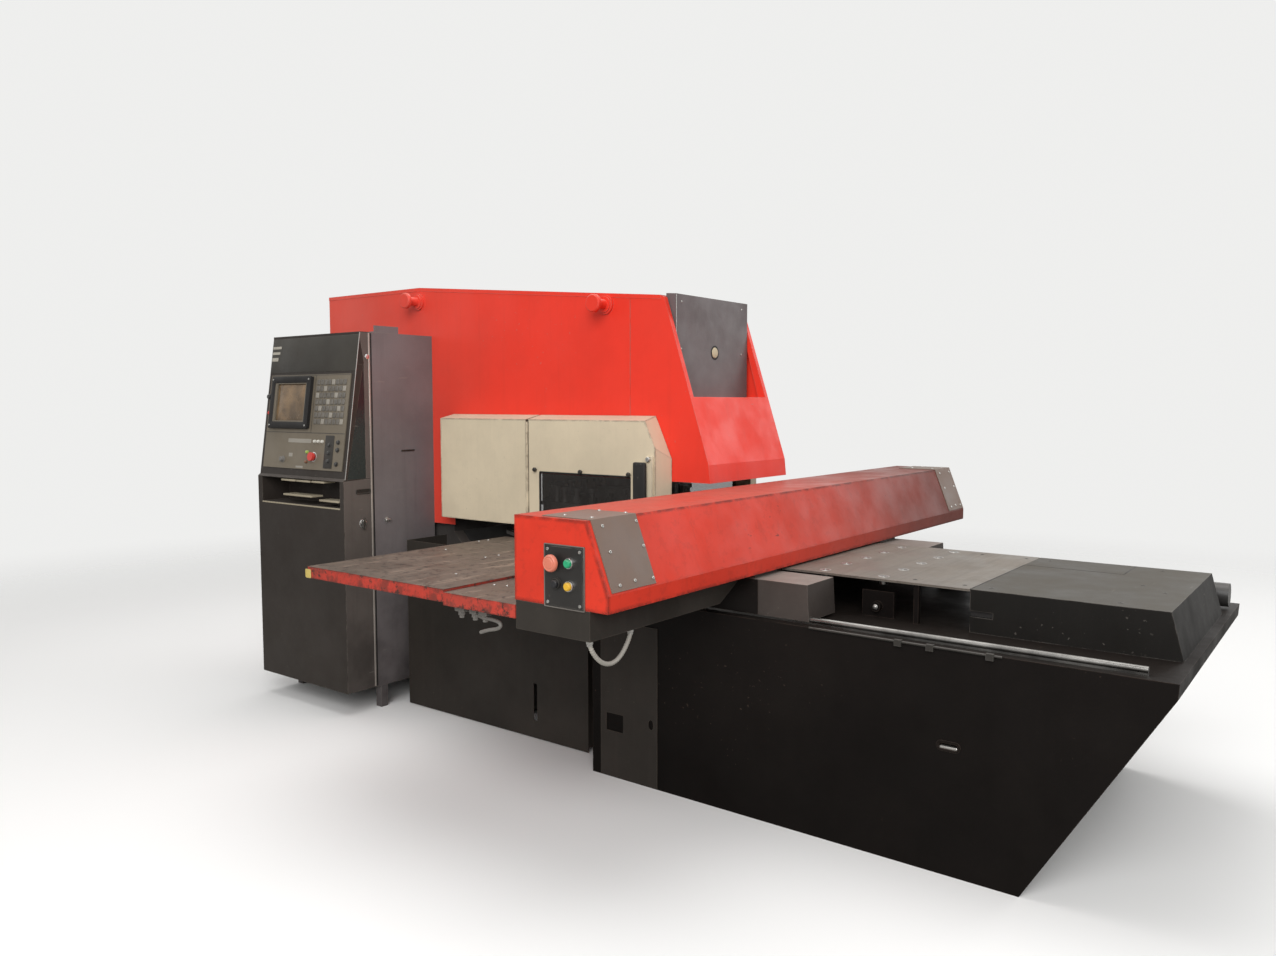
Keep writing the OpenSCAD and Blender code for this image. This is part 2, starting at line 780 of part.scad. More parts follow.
module motor_pulley() {
    color("#6a655f") difference() {
        union() {
            bar_y(0, motor_z, pulley_r, pulley_y0, pulley_y1);
            bar_y(0, motor_z, 24, pulley_y0 - 38, pulley_y0 + 1);
        }
        for (y = belt_ys) translate([0, y, motor_z]) rotate([90, 0, 0]) difference() {
            cylinder(r = pulley_r + 1, h = belt_w, center = true);
            cylinder(r = pulley_r - 8, h = belt_w + 2, center = true);
        }
    }
}

module drive_belts() {
    color("#1d1c1b") for (y = belt_ys)
        translate([0, y + belt_w / 2 - 1, crank_z]) rotate([90, 90, 0])
        linear_extrude(belt_w - 2) difference() {
            loop_2d(fly_r - 1, pulley_r - 1, crank_z - motor_z);
            loop_2d(fly_r - 8 + run_gap, pulley_r - 8 + run_gap, crank_z - motor_z);
        }
}

module main_motor() {
    color("#4c5a60") difference() {
        union() {
            bar_y(0, motor_z, 125, 1560, 1840);
            bar_y(0, motor_z, 60, 1839, 1868);
            block([-100, 1580, motor_z - 140], [100, 1800, motor_z - 80]);
            for (a = [0:20:340]) translate([0, 1700, motor_z]) rotate([0, a, 0])
                block([-3, -110, 120], [3, 110, 134]);
        }
        bar_y(0, motor_z, 24 + run_gap, 1858, 1870);
    }
}

/* Turrets, tools and their drive */

chain_z = upper_z + 62;
low_chain_z = lower_z + 34;
chain_h = 22;
chain_t = 9;
sprocket_r = 60;
chain_r1 = turret_r - 10 + run_gap;
chain_r2 = sprocket_r - 10 + run_gap;

module turret_disc(z, h, groove_z) {
    difference() {
        translate([0, turret_y, z]) cylinder(r = turret_r, h = h, $fn = 128);
        translate([0, turret_y, groove_z]) difference() {
            cylinder(r = turret_r + 1, h = chain_h);
            translate([0, 0, -1]) cylinder(r = turret_r - 10, h = chain_h + 2, $fn = 128);
        }
    }
}

spigot_r = 60;
seat_gap = 0.2;

// The upper disc, and the hub with its shaft that sits in it on a spigot.
module upper_turret() {
    color("#817d78") {
        difference() {
            turret_disc(upper_z, upper_t, chain_z);
            at_stations(0, stations - 1) translate([0, 0, upper_z - 1])
                cylinder(r = punch_r + 0.3, h = upper_t + 2);
            translate([0, turret_y, upper_top - 40]) cylinder(r = spigot_r + 0.2, h = 41);
        }
        translate([0, turret_y, upper_top]) rotate_extrude() polygon([
            [0, -39], [spigot_r, -39], [spigot_r, seat_gap], [120, seat_gap], [120, 60],
            [upper_shaft_r, 60], [upper_shaft_r, housing_top - 20 - upper_top],
            [0, housing_top - 20 - upper_top]
        ]);
    }
}

// A punch holder: body in the disc, wider head above it, and the tool tip.
module punch(top) {
    translate([0, 0, upper_z]) cylinder(r = 9, h = 6);
    translate([0, 0, upper_z + 5]) cylinder(r = punch_r, h = upper_t + 25);
    translate([0, 0, upper_top + 29]) cylinder(r = punch_r - 8, h = top - upper_top - 46);
    translate([0, 0, top - 18]) cylinder(r = punch_r + 1, h = 18);
}

module punches() {
    color("#b8b4ad") at_stations(1, stations - 1) punch(head_z - ram_stroke - 2);
}

module station_punch() {
    color("#c4c0b8") punch(head_z);
}

module lower_turret() {
    color("#76726d") difference() {
        union() {
            turret_disc(lower_z, lower_t, low_chain_z);
            translate([0, turret_y, lower_deck_z - 90])
                cylinder(r = lower_shaft_r, h = lower_z - lower_deck_z + 91);
            translate([0, turret_y, lower_deck_z + run_gap]) cylinder(r = 100, h = 30 - run_gap);
        }
        at_stations(0, stations - 1) {
            translate([0, 0, lower_top - 30]) cylinder(r = 30, h = 31);
            translate([0, 0, lower_z - 1]) cylinder(r = 16, h = lower_t);
        }
    }
}

module dies() {
    color("#a9a59e") at_stations(0, stations - 1) difference() {
        translate([0, 0, lower_top - 30]) cylinder(r = 29.8, h = 34);
        translate([0, 0, lower_top - 31]) cylinder(r = 10, h = 36);
    }
}

module turret_drive_shaft() {
    color("#8a8680") translate([0, drive_y, 0]) {
        translate([0, 0, lower_deck_z - 124])
            cylinder(r = 20, h = chain_z + chain_h + 20 - lower_deck_z + 124);
        for (z = [chain_z, low_chain_z]) translate([0, 0, z + 1])
            cylinder(r = sprocket_r - 10, h = chain_h - 2);
    }
}

module turret_chains() {
    color("#4e4a45") for (z = [chain_z, low_chain_z]) translate([0, turret_y, z + 2]) rotate(90)
        linear_extrude(chain_h - 4) difference() {
            loop_2d(chain_r1 + chain_t, chain_r2 + chain_t, drive_y - turret_y);
            loop_2d(chain_r1, chain_r2, drive_y - turret_y);
        }
}

module axis_servos() {
    color("#2c2c2e") {
        difference() {
            translate([0, drive_y, lower_deck_z - 320]) cylinder(r = 60, h = 200);
            translate([0, drive_y, lower_deck_z - 128]) cylinder(r = 20 + run_gap, h = 10);
        }
        difference() {
            translate([-90, drive_y - 90, lower_deck_z - 120]) cube([180, 180, 10]);
            translate([0, drive_y, lower_deck_z - 121]) cylinder(r = 24, h = 12);
        }
        difference() {
            union() {
                block([screw_x - 30, -262, deck_z], [screw_x + 30, -246, screw_z + 30]);
                block([screw_x - 52, -bed_reach + 113, deck_z],
                      [screw_x + 52, -bed_reach + 125, screw_z + 50]);
                bar_y(screw_x, screw_z, 44, -bed_reach + 20, -bed_reach + 114);
            }
            bar_y(screw_x, screw_z, screw_r + run_gap, -bed_reach + 112, -240);
        }
    }
}

/* Arm covers */

fin_top_y = -165;
louvres = 8;
seam_y = 14;

module arm_side_2d() {
    polygon([
        [seam_y + 1, nose_z], [seam_y + 1, arm_front_z - 3 + seam_y * slope],
        [arm_break_y, arm_rear_z - sheet_t],
        [arm_back, arm_rear_z - sheet_t], [arm_back, guard_z - 50], [guard_back + 6, guard_z - 50],
        [guard_back + 6, nose_z]
    ]);
}

boss_r = 42;
boss_cap_r = 39;
boss_reach = 127;
boss_spots = [[148, arm_front_z - 23], [1391, arm_rear_z - 72]];

module arm_side() {
    difference() {
        slab_x(arm_x - sheet_t, arm_x) arm_side_2d();
        for (p = boss_spots) bar_x(p[0], p[1], boss_r + run_gap, arm_x - 30, arm_x + 30);
    }
}

module arm_side_covers() {
    color("#d5392b") both_sides() arm_side();
}

module arm_top_cover() {
    color("#d5392b") difference() {
        slab_x(-arm_x, arm_x) polygon([
            [-150, arm_front_z - sheet_t], [-150, arm_front_z], [arm_break_y, arm_rear_z],
            [arm_back + sheet_t, arm_rear_z],
            [arm_back + sheet_t, guard_z - 50], [arm_back, guard_z - 50], [arm_back, arm_rear_z - sheet_t],
            [arm_break_y, arm_rear_z - sheet_t]
        ]);
        for (i = [0:louvres - 1])
            block([-190, arm_back - 1, 1000 + i * 36], [190, arm_back + sheet_t + 1, 1010 + i * 36]);
    }
}

// Front edge of the nose hood's fins: the height at a distance y from the station.
function fin_z(y) = nose_z + nose_lip + (y + nose_reach - 8) * (arm_front_z - 8 - nose_z - nose_lip)
    / (fin_top_y + nose_reach - 8);

ledge_y = -205;
fin_lip = 24;

module nose_side_2d() {
    polygon([
        [-nose_reach, nose_z], [-nose_reach + 8, nose_z + nose_lip], [fin_top_y, arm_front_z - 8],
        [-150, arm_front_z - sheet_t], [seam_y - 1, arm_front_z - 3 + seam_y * slope], [seam_y - 1, nose_z]
    ]);
}

// The hood over the nose: two raked fins with a folded edge, a ledge, a slope and an upright lip.
module nose_cover() {
    tip = -nose_reach;
    ledge_front = fin_top_y - (arm_front_z - 8 - ledge_z) * (nose_reach - 8 + fin_top_y)
        / (arm_front_z - 8 - nose_z - nose_lip);
    color("#d8402f") difference() {
        slab_x(-arm_x, arm_x) nose_side_2d();
        slab_x(-arm_x + sheet_t, arm_x - sheet_t) polygon([
            [tip + 60, nose_z - 1], [tip + 60, nose_z + sheet_t], [tip + sheet_t, nose_z + sheet_t],
            [tip + 8 + sheet_t, nose_z + nose_lip], [ledge_front + sheet_t, ledge_z - sheet_t],
            [seam_y, ledge_z - sheet_t], [seam_y, nose_z - 1]
        ]);
        block([-arm_x + sheet_t, cheek_front - 2, nose_z - 1], [arm_x - sheet_t, seam_y + 1, arm_rear_z]);
        slab_x(-arm_x + sheet_t, arm_x - sheet_t) polygon([
            [ledge_front + 40, ledge_z], [fin_top_y + 16, arm_front_z - 20],
            [fin_top_y + 16, arm_front_z + 20],
            [seam_y + 1, arm_front_z + 20], [seam_y + 1, ledge_z]
        ]);
        slab_x(-arm_x + fin_lip, arm_x - fin_lip) polygon([
            [ledge_front - 60, ledge_z], [fin_top_y - 60, arm_front_z + 20], [seam_y, arm_front_z + 20],
            [seam_y, ledge_z]
        ]);
    }
}

module head_front_panel() {
    color("#4a4644") difference() {
        slab_x(-arm_x + fin_lip + 8, arm_x - fin_lip - 8) polygon([
            [ledge_y, ledge_z], [ledge_y, arm_front_z + 6], [-154, arm_front_z + 10], [-154, ledge_z]
        ]);
        slab_x(-arm_x + fin_lip + 8 + sheet_t, arm_x - fin_lip - 8 - sheet_t) polygon([
            [ledge_y + sheet_t, ledge_z - 1], [ledge_y + sheet_t, arm_front_z + 3], [-153, arm_front_z + 7],
            [-153, ledge_z - 1]
        ]);
        translate([12, ledge_y - 1, 1725]) rotate([-90, 0, 0]) cylinder(r = 25, h = sheet_t + 2);
    }
}

// A lifting boss on the cheek: a flange, a neck and a mushroom cap.
module lifting_bosses() {
    color("#d5392b") both_sides() for (p = boss_spots)
        translate([cheek_out, p[0], p[1]]) rotate([0, 90, 0]) rotate_extrude() polygon([
            [0, 0], [boss_r, 0], [boss_r, 41], [boss_r - 7, 41], [boss_r - 7, 48], [22, 48],
            [22, boss_reach - 23], [boss_cap_r, boss_reach - 19], [boss_cap_r, boss_reach - 5],
            [boss_cap_r - 5, boss_reach], [0, boss_reach]
        ]);
}

/* Turret guards and doors */

guard_in = arm_x + 3;
guard_rise = 20;
door_slant = 22;
knuckle_r = 5;
knuckle_n = 9;
door_chamfer = 62;
window_y0 = -58;
window_y1 = 465;
window_z0 = 985;
window_z1 = 1190;

module guard_2d(t) {
    polygon([
        [guard_x - t, guard_z - t * 2], [guard_x - t, guard_top - t],
        [guard_in - t, guard_top + guard_rise - t],
        [guard_in - t, guard_z - t * 2]
    ]);
}

hinge_x = guard_x + 2;

// Knuckles of the piano hinge, every second one, with the pin or a bore.
module knuckles(first) {
    h = (guard_top - guard_z - 20) / knuckle_n;
    for (i = [first:2:knuckle_n - 1])
        translate([hinge_x, hinge_y, guard_z + 10 + i * h + 0.5]) cylinder(r = knuckle_r, h = h - 1);
}

module guard() {
    difference() {
        union() {
            difference() {
                slab_y(hinge_y + 7, guard_back) guard_2d(0);
                slab_y(hinge_y + 6, guard_back - 2) guard_2d(2);
            }
            difference() {
                knuckles(0);
                block([guard_x - 8, hinge_y - 9, guard_z], [guard_x - 2, hinge_y + 9, guard_top]);
            }
            translate([hinge_x, hinge_y, guard_z + 12]) cylinder(r = 1.6, h = guard_top - guard_z - 24);
            block([guard_x - 2, hinge_y + 3.5, guard_z + 10], [guard_x + 2, hinge_y + 8, guard_top - 10]);
            block([guard_in - 3, hinge_y + 20, guard_top - 30],
                  [guard_in + 1, guard_back - 10, guard_top + guard_rise - 1]);
        }
        difference() {
            union() {
                h = (guard_top - guard_z - 20) / knuckle_n;
                for (i = [1:2:knuckle_n - 1])
                    translate([hinge_x, hinge_y, guard_z + 10 + i * h]) cylinder(r = knuckle_r + 0.6, h = h);
            }
            translate([hinge_x, hinge_y, guard_z]) cylinder(r = 1.6, h = guard_top - guard_z);
        }
    }
}

module right_turret_guard() { color("#d9d2bf") guard(); }
module left_turret_guard() { color("#d9d2bf") mirror([1, 0, 0]) guard(); }

// Outline of the door's outer face in Y and Z, set in by t.
module door_2d(t) {
    polygon([
        [hinge_y - 7, guard_z - t * 2], [hinge_y - 7, guard_top + 20 - t],
        [-door_reach + door_chamfer, guard_top + 20 - t],
        [-door_reach - door_slant + t, guard_top - 160], [-door_reach - door_slant + t, guard_z - t * 2]
    ]);
}

// Plan of the door, whose front return slants forward towards the machine.
module door_plan(t) {
    translate([0, 0, guard_z - 10]) linear_extrude(guard_top + 40 - guard_z) polygon([
        [guard_x + 1, hinge_y + 1], [guard_in - 10, hinge_y + 1],
        [guard_in - 10, -door_reach - door_slant - 2 + t], [guard_in, -door_reach - door_slant + t],
        [guard_x, -door_reach + t], [guard_x + 1, -door_reach + t]
    ]);
}

module door_shell() {
    difference() {
        intersection() {
            slab_y(-door_reach - door_slant - 1, hinge_y - 6) guard_2d(0);
            slab_x(guard_in - 1, guard_x + 1) door_2d(0);
            door_plan(0);
        }
        intersection() {
            slab_y(-door_reach - door_slant - 1, hinge_y) guard_2d(2);
            slab_x(guard_in - 9, guard_x) polygon([
                [hinge_y, guard_z - 4], [hinge_y, guard_top + 20],
                [-door_reach + door_chamfer + 3, guard_top + 20],
                [-door_reach - door_slant + 2, guard_top - 160],
                [-door_reach - door_slant + 2, guard_z - 4]
            ]);
            door_plan(2);
        }
        block([guard_x - 3, window_y0, window_z0], [guard_x + 1, window_y1, window_z1]);
    }
}

module turret_door() {
    difference() {
        union() {
            door_shell();
            difference() {
                knuckles(1);
                block([guard_x - 8, hinge_y - 9, guard_z], [guard_x - 2, hinge_y + 9, guard_top]);
            }
            block([guard_x - 2, hinge_y - 8, guard_z + 10], [guard_x + 2, hinge_y - 3.5, guard_top - 10]);
            for (z = [1110, 1240])
                block([guard_x, -120, z - 8], [guard_x + 24, -104, z + 8]);
            block([guard_x + 24, -122, 1096], [guard_x + 34, -102, 1254]);
        }
        h = (guard_top - guard_z - 20) / knuckle_n;
        for (i = [0:2:knuckle_n - 1])
            translate([hinge_x, hinge_y, guard_z + 10 + i * h]) cylinder(r = knuckle_r + 0.6, h = h);
        translate([hinge_x, hinge_y, guard_z]) cylinder(r = 2.1, h = guard_top - guard_z);
    }
}

module right_turret_door() { color("#d9d2bf") turret_door(); }
module left_turret_door() { color("#d9d2bf") mirror([1, 0, 0]) turret_door(); }

module window_pane() {
    block([guard_x - 6, window_y0 - 16, window_z0 - 16], [guard_x - 2, window_y1 + 16, window_z1 + 16]);
}

module right_window() { color("#50545a") window_pane(); }
module left_window() { color("#50545a") mirror([1, 0, 0]) window_pane(); }

/* Control cabinet and console */

cab_far = cab_near + cab_w;
cab_in = arm_x + run_gap;
cab_t = 3;

hinge_zs = [300, 900, 1600];

module cabinet_body() {
    color("#5b5450") {
        difference() {
            block([-cab_part + run_gap, cab_near, cab_z], [-cab_in, cab_far, cab_top]);
            block([-cab_part - 1, cab_near + cab_t, cab_z + cab_t],
                  [-cab_in - cab_t, cab_far - cab_t, cab_top - cab_t]);
        }
        for (x = [-cab_part + 30, -cab_in - 70], y = [cab_near + 4, cab_far - 44])
            block([x, y, 0], [x + 40, y + 40, cab_z]);
        for (z = hinge_zs) {
            translate([-cab_part, cab_far + 6, z + 31]) cylinder(r = 5, h = 30);
            translate([-cab_part, cab_far + 6, z + 2]) cylinder(r = 2, h = 30);
            block([-cab_part + 1, cab_far - 1, z + 31], [-cab_part + 30, cab_far + 4, z + 61]);
        }
        block([-668, cab_near + 10, cab_top], [-524, cab_near + 16, cab_top + 34]);
        block([-668, cab_near + 10, cab_top], [-524, cab_near + 50, cab_top + 6]);
    }
}

gear_rows = [1500, 1250, 1000, 700, 400];

// The mounting plate inside the cabinet with its rows of drives and contactors.
module control_gear() {
    color("#b8b3a4") {
        block([-cab_in - cab_t - 12, cab_near + 40, cab_z + 60],
              [-cab_in - cab_t, cab_far - 40, cab_top - 60]);
        for (z = gear_rows, i = [0:4])
            block([-cab_in - cab_t - 12 - 120, cab_near + 60 + i * 108, z],
                  [-cab_in - cab_t - 12, cab_near + 60 + i * 108 + 88, z + 170]);
    }
}

shelf_z0 = console_z - 136;
shelf_z1 = console_z - 10;
wedge_x = cab_part + 38;

module console_profile(t) {
    polygon([
        [-cab_part - t, cab_z + t + 2], [-cab_out + t, cab_z + t + 2], [-cab_out + t, console_z - 7],
        [-cab_out + 13 + t, console_z + 3], [-cab_out + console_lean + t, cab_top - t - 10],
        [-cab_out + console_lean + t, cab_top - t], [-cab_part - t, cab_top - t]
    ]);
}

module console_door() {
    color("#57504c") difference() {
        union() {
            slab_y(cab_near, cab_far) console_profile(0);
            for (z = hinge_zs) {
                translate([-cab_part, cab_far + 6, z]) cylinder(r = 5, h = 30);
                block([-cab_part - 30, cab_far - 1, z], [-cab_part - 1, cab_far + 4, z + 30]);
            }
        }
        for (z = hinge_zs) translate([-cab_part, cab_far + 6, z + 1]) cylinder(r = 2 + run_gap, h = 30);
        slab_y(cab_near + cab_t, cab_far - cab_t) difference() {
            polygon([
                [-cab_part + 1, cab_z + 5], [-cab_out + cab_t, cab_z + 5],
                [-cab_out + cab_t, shelf_z0 - cab_t],
                [-cab_part + 1, shelf_z0 - cab_t]
            ]);
        }
        slab_y(cab_near + cab_t, cab_far - cab_t) polygon([
            [-cab_part + 1, shelf_z1 + 2], [-cab_out + 20, shelf_z1 + 2], [-cab_out + 20, console_z + 8],
            [-cab_out + console_lean + 8, cab_top - 20], [-cab_part + 1, cab_top - 20]
        ]);
        block([-cab_out - 1, cab_near + 28, shelf_z0], [-cab_part - 12, cab_far - 36, shelf_z1]);
        for (y = [cab_near - 1, cab_far - 2]) slab_y(y, y + 3) polygon([
            [-wedge_x, console_z], [-cab_out + 24, console_z], [-wedge_x, cab_top - 150]
        ]);
    }
}

// Places the children on the sloped console: local X runs along the machine's Y, local Y up the slope.
module on_console() {
    run = console_lean - 13;
    rise = cab_top - 10 - console_z - 3;
    translate([-cab_out + 13, cab_near, console_z + 3]) rotate([0, atan(run / rise), 0]) rotate([90, 0, -90])
        mirror([1, 0, 0]) children();
}

module console_panel() {
    color("#6f6a5c") on_console() difference() {
        union() {
            translate([30, 35, 0.05]) cube([cab_w - 56, 470, 4.95]);
            translate([cab_w - 392, 235, 5]) difference() {
                cube([330, 258, 16]);
                translate([37, 38, 4]) cube([244, 184, 13]);
            }
        }
        translate([260, 98, -1]) cylinder(r = 12, h = 8);
    }
}

module console_stop() {
    color("#d2402f") on_console() translate([260, 98, 0]) {
        translate([0, 0, 4.6]) cylinder(r = 12 - run_gap, h = 12);
        translate([0, 0, 15]) cylinder(r = 21, h = 14);
    }
}

latch_z = 925;

module door_latch() {
    color("#c8c8c8") translate([-765, cab_near - 0.3, latch_z]) rotate([90, 0, 0]) {
        cylinder(r = 14, h = 6);
        translate([-6, -24, 6]) cube([12, 48, 8]);
    }
}

c_frame();
front_bed();
lower_side_panels();
leveling_feet();
centre_plate();
ball_transfers();
front_cover();
y_rails();
oil_line();
arm_side_covers();
arm_top_cover();
nose_cover();
head_front_panel();
lifting_bosses();
left_turret_guard();
right_turret_guard();
main_motor();
drive_belts();
axis_servos();
turret_chains();
cabinet_body();
control_gear();
crank_shaft();
flywheel();
motor_pulley();
ram();
connecting_rod();
upper_turret();
punches();
station_punch();
lower_turret();
dies();
turret_drive_shaft();
y_screw();
beam_cover();
beam_frame();
saddle_plates();
lower_box();
conduit_loop();
side_tables();
guide_blocks();
button_panel();
x_rails();
x_servo();
x_screw();
x_carriage();
left_jaw();
right_jaw();
stop_button();
start_button();
mode_button();
reset_button();
left_turret_door();
left_window();
right_turret_door();
right_window();
console_door();
console_panel();
console_stop();
door_latch();
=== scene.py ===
import math

import bmesh
import bpy
import numpy as np
from mathutils import Matrix, Vector


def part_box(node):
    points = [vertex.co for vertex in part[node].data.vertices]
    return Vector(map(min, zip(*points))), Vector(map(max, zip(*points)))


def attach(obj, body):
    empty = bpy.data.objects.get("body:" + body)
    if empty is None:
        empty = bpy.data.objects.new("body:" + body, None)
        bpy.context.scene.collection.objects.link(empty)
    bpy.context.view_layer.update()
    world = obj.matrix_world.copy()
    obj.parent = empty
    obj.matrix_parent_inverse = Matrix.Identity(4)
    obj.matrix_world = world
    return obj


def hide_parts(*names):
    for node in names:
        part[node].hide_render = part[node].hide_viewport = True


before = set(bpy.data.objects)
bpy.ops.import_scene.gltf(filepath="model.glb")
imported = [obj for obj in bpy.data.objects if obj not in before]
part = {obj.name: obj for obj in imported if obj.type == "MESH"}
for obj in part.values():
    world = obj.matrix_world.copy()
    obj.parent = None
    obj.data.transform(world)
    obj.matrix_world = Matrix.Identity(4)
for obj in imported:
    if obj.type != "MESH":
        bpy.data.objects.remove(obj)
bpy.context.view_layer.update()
scene = bpy.context.scene
scene.view_settings.view_transform = "Standard"

# The camera stands off the front left corner of the press at eye height.
# It looks along the beam and a little down, as the photographer did.
# Its place is in metres, heading and dip are in degrees, focal length and width in pixels of the photo.
eye_place, eye_heading, eye_dip = (-3.667, -2.588, 1.5), 37.4, 4.36
sensor_mm, photo_focal, photo_width = 36.0, 976.0, 1276.0
eye = bpy.data.cameras.new("eye")
eye.sensor_width = sensor_mm
eye.lens = sensor_mm * photo_focal / photo_width
eye.clip_end = 60.0
eye_obj = bpy.data.objects.new("eye", eye)
scene.collection.objects.link(eye_obj)
eye_level = Matrix.Rotation(math.radians(90.0 - eye_dip), 4, "X")
eye_turn = Matrix.Rotation(math.radians(eye_heading - 90.0), 4, "Z") @ eye_level
eye_obj.matrix_world = Matrix.Translation(eye_place) @ eye_turn
scene.camera = eye_obj


# The conduit is a ribbed plastic hose that carries the button wires down under the duct and up again.
# It hangs in one loop and is held in a screwed gland at each end.
# Its paint recipe is the one that every painted or bare surface of the press shares.
def finish(name, colour, rough=0.5, metal=0.0, vary=0.18, patch=2.2, film=0.08, dust=0.3,
           dusty=(0.30, 0.27, 0.24), worn=0.5, bare=(0.30, 0.27, 0.24), streak=0.12, grime_and_shade=0.2,
           grime_and_shade_tone=(0.05, 0.04, 0.035), low=0.9, scratch=0.3, orange=0.12, brushed=None, gloss=0.5, top=None,
           see=1.0, edge_r=0.0045, chips=0.0, cut=(9, 60, 75), drift=()):
    """Paint = base colour x patchy noise, then vertical streaks, grime and painted shade that thicken towards
    z = 0, dust by how far the face looks up, scratches from stretched noise, and bare metal where a bevelled
    normal leaves the face's own. A top colour covers faces that look up, chips are patches of bare noise, and
    drift is a second colour, such as dust, that thickens along one axis. Roughness and bump follow noise of
    their own."""
    paint = bpy.data.materials.new(name)
    paint.use_nodes = True
    tree = paint.node_tree
    shader = tree.nodes["Principled BSDF"]
    shader.inputs["Metallic"].default_value = metal
    shader.inputs["Specular IOR Level"].default_value = gloss
    shader.inputs["Alpha"].default_value = see
    join = tree.links.new

    def node(kind, **sockets):
        n = tree.nodes.new("ShaderNode" + kind)
        for k, v in sockets.items():
            n.inputs[k].default_value = v
        return n

    spot = node("TexCoord").outputs["Object"]

    def stretched(sx, sy, sz):
        n = node("Mapping", Scale=(sx, sy, sz))
        join(spot, n.inputs["Vector"])
        return n.outputs[0]

    def noise(scale, detail=5.0, rougher=0.6, where=None):
        n = node("TexNoise", Scale=scale, Detail=detail, Roughness=rougher)
        join(where or spot, n.inputs["Vector"])
        return n.outputs["Fac"]

    def between(value, lo, hi, a=0.0, b=1.0):
        n = node("MapRange")
        n.interpolation_type = "SMOOTHSTEP"
        join(value, n.inputs["Value"])
        for k, v in (("From Min", lo), ("From Max", hi), ("To Min", a), ("To Max", b)):
            n.inputs[k].default_value = v
        return n.outputs[0]

    def times(a, b):
        n = node("Math")
        n.operation = "MULTIPLY"
        join(a, n.inputs[0])
        if isinstance(b, float):
            n.inputs[1].default_value = b
        else:
            join(b, n.inputs[1])
        return n.outputs[0]

    def blend(fac, a, b):
        n = tree.nodes.new("ShaderNodeMix")
        n.data_type = "RGBA"
        join(fac, n.inputs[0])
        for sock, v in ((n.inputs[6], a), (n.inputs[7], b)):
            if isinstance(v, tuple):
                sock.default_value = (*v, 1)
            else:
                join(v, sock)
        return n.outputs[2]

    def mottled(base, amount, scale):
        return blend(between(noise(scale, 8.0, 0.65), 0.32, 0.68), tuple(c * (1 - amount) for c in base),
                     tuple(min(1.0, c * (1 + amount)) for c in base))

    geo = node("NewGeometry")
    up = node("SeparateXYZ")
    join(geo.outputs["Normal"], up.inputs[0])
    place = node("SeparateXYZ")
    join(spot, place.inputs[0])
    tone = mottled(colour, vary, patch)
    if top:
        tone = blend(between(up.outputs["Z"], 0.80, 0.95), tone, mottled(top, 0.45, 5.0))
    tone = blend(between(noise(90.0, 3.0), 0.60, 0.78, 0.0, 0.16 * vary + 0.01), tone, dusty)
    if brushed:
        lines = noise(1.0, 4.0, 0.7, stretched(*brushed))
        tone = blend(between(lines, 0.38, 0.52, 0.55, 0.0), tone, tuple(c * 0.45 for c in (top or colour)))
    runs = between(noise(1.0, 6.0, 0.7, stretched(26, 26, 1.1)), 0.50, 0.72)
    tone = blend(times(runs, float(streak)), tone, grime_and_shade_tone)
    # Darker towards z = 0: grime, and on the cabinet's side painted shade.
    foot_grime_and_shade = times(between(place.outputs["Z"], 0.0, low, 1.0, 0.0),
                 between(noise(3.6, 7.0), 0.30, 0.70, 0.25, 1.0))
    tone = blend(times(foot_grime_and_shade, float(grime_and_shade)), tone, grime_and_shade_tone)
    tone = blend(times(between(noise(1.6, 6.0), 0.35, 0.80), float(film)), tone, dusty)
    flat = times(between(up.outputs["Z"], 0.25, 0.9), between(noise(7.0, 8.0, 0.7), 0.28, 0.66, 0.70, 1.0))
    tone = blend(times(flat, float(dust)), tone, dusty)
    if brushed:
        tone = blend(times(between(lines, 0.55, 0.66), between(up.outputs["Z"], 0.8, 0.95, 0.0, 0.6)), tone,
                     dusty)
    for axis, start, stop, share, powder in drift:
        tone = blend(times(between(place.outputs[axis], start, stop, 0.0, share),
                           between(noise(1.1, 3.0), 0.30, 0.70, 0.8, 1.0)), tone, powder)
    if chips:
        tone = blend(between(noise(26.0, 9.0, 0.75), 0.545, 0.585, 0.0, chips), tone, bare)
    nicks = between(noise(1.0, 3.0, 0.5, stretched(*cut)), 0.685, 0.72)
    nicks = times(nicks, between(noise(2.3, 2.0), 0.48, 0.62))
    tone = blend(times(nicks, float(scratch)), tone, bare)
    bevel = node("Bevel", Radius=edge_r)
    bevel.samples = 4
    facing = node("VectorMath")
    facing.operation = "DOT_PRODUCT"
    join(bevel.outputs[0], facing.inputs[0])
    join(geo.outputs["Normal"], facing.inputs[1])
    edge = between(facing.outputs["Value"], 0.86, 0.988, 1.0, 0.0)
    edge = times(edge, between(noise(16.0, 6.0, 0.7), 0.34, 0.56))
    tone = blend(times(edge, float(worn)), tone, bare)
    join(tone, shader.inputs["Base Color"])
    join(between(noise(5.0, 7.0), 0.25, 0.8, rough - 0.10, min(1.0, rough + 0.22)),
         shader.inputs["Roughness"])
    bump = node("Bump", Strength=orange, Distance=0.002)
    join(noise(260.0, 2.0), bump.inputs["Height"])
    dents = node("Bump", Strength=0.10, Distance=0.02)
    join(noise(3.0, 2.0), dents.inputs["Height"])
    join(bump.outputs[0], dents.inputs["Normal"])
    join(dents.outputs[0], shader.inputs["Normal"])
    return paint


def skinned(loops, ring=False):
    """Closed loops (rows, around, 3) get four-sided faces between neighbours. The first and last loop
    get a flat lid, or are joined to each other where the rows themselves form a ring."""
    rows, around = loops.shape[:2]
    i = np.arange(rows if ring else rows - 1)[:, None] * around
    k = np.arange(around)[None, :]
    j = (i + around) % (rows * around)
    quads = np.stack([i + k, i + (k + 1) % around, j + (k + 1) % around, j + k], -1).reshape(-1, 4)
    lids = [] if ring else [np.arange(around)[::-1], np.arange(around) + (rows - 1) * around]
    return loops.reshape(-1, 3), quads, lids


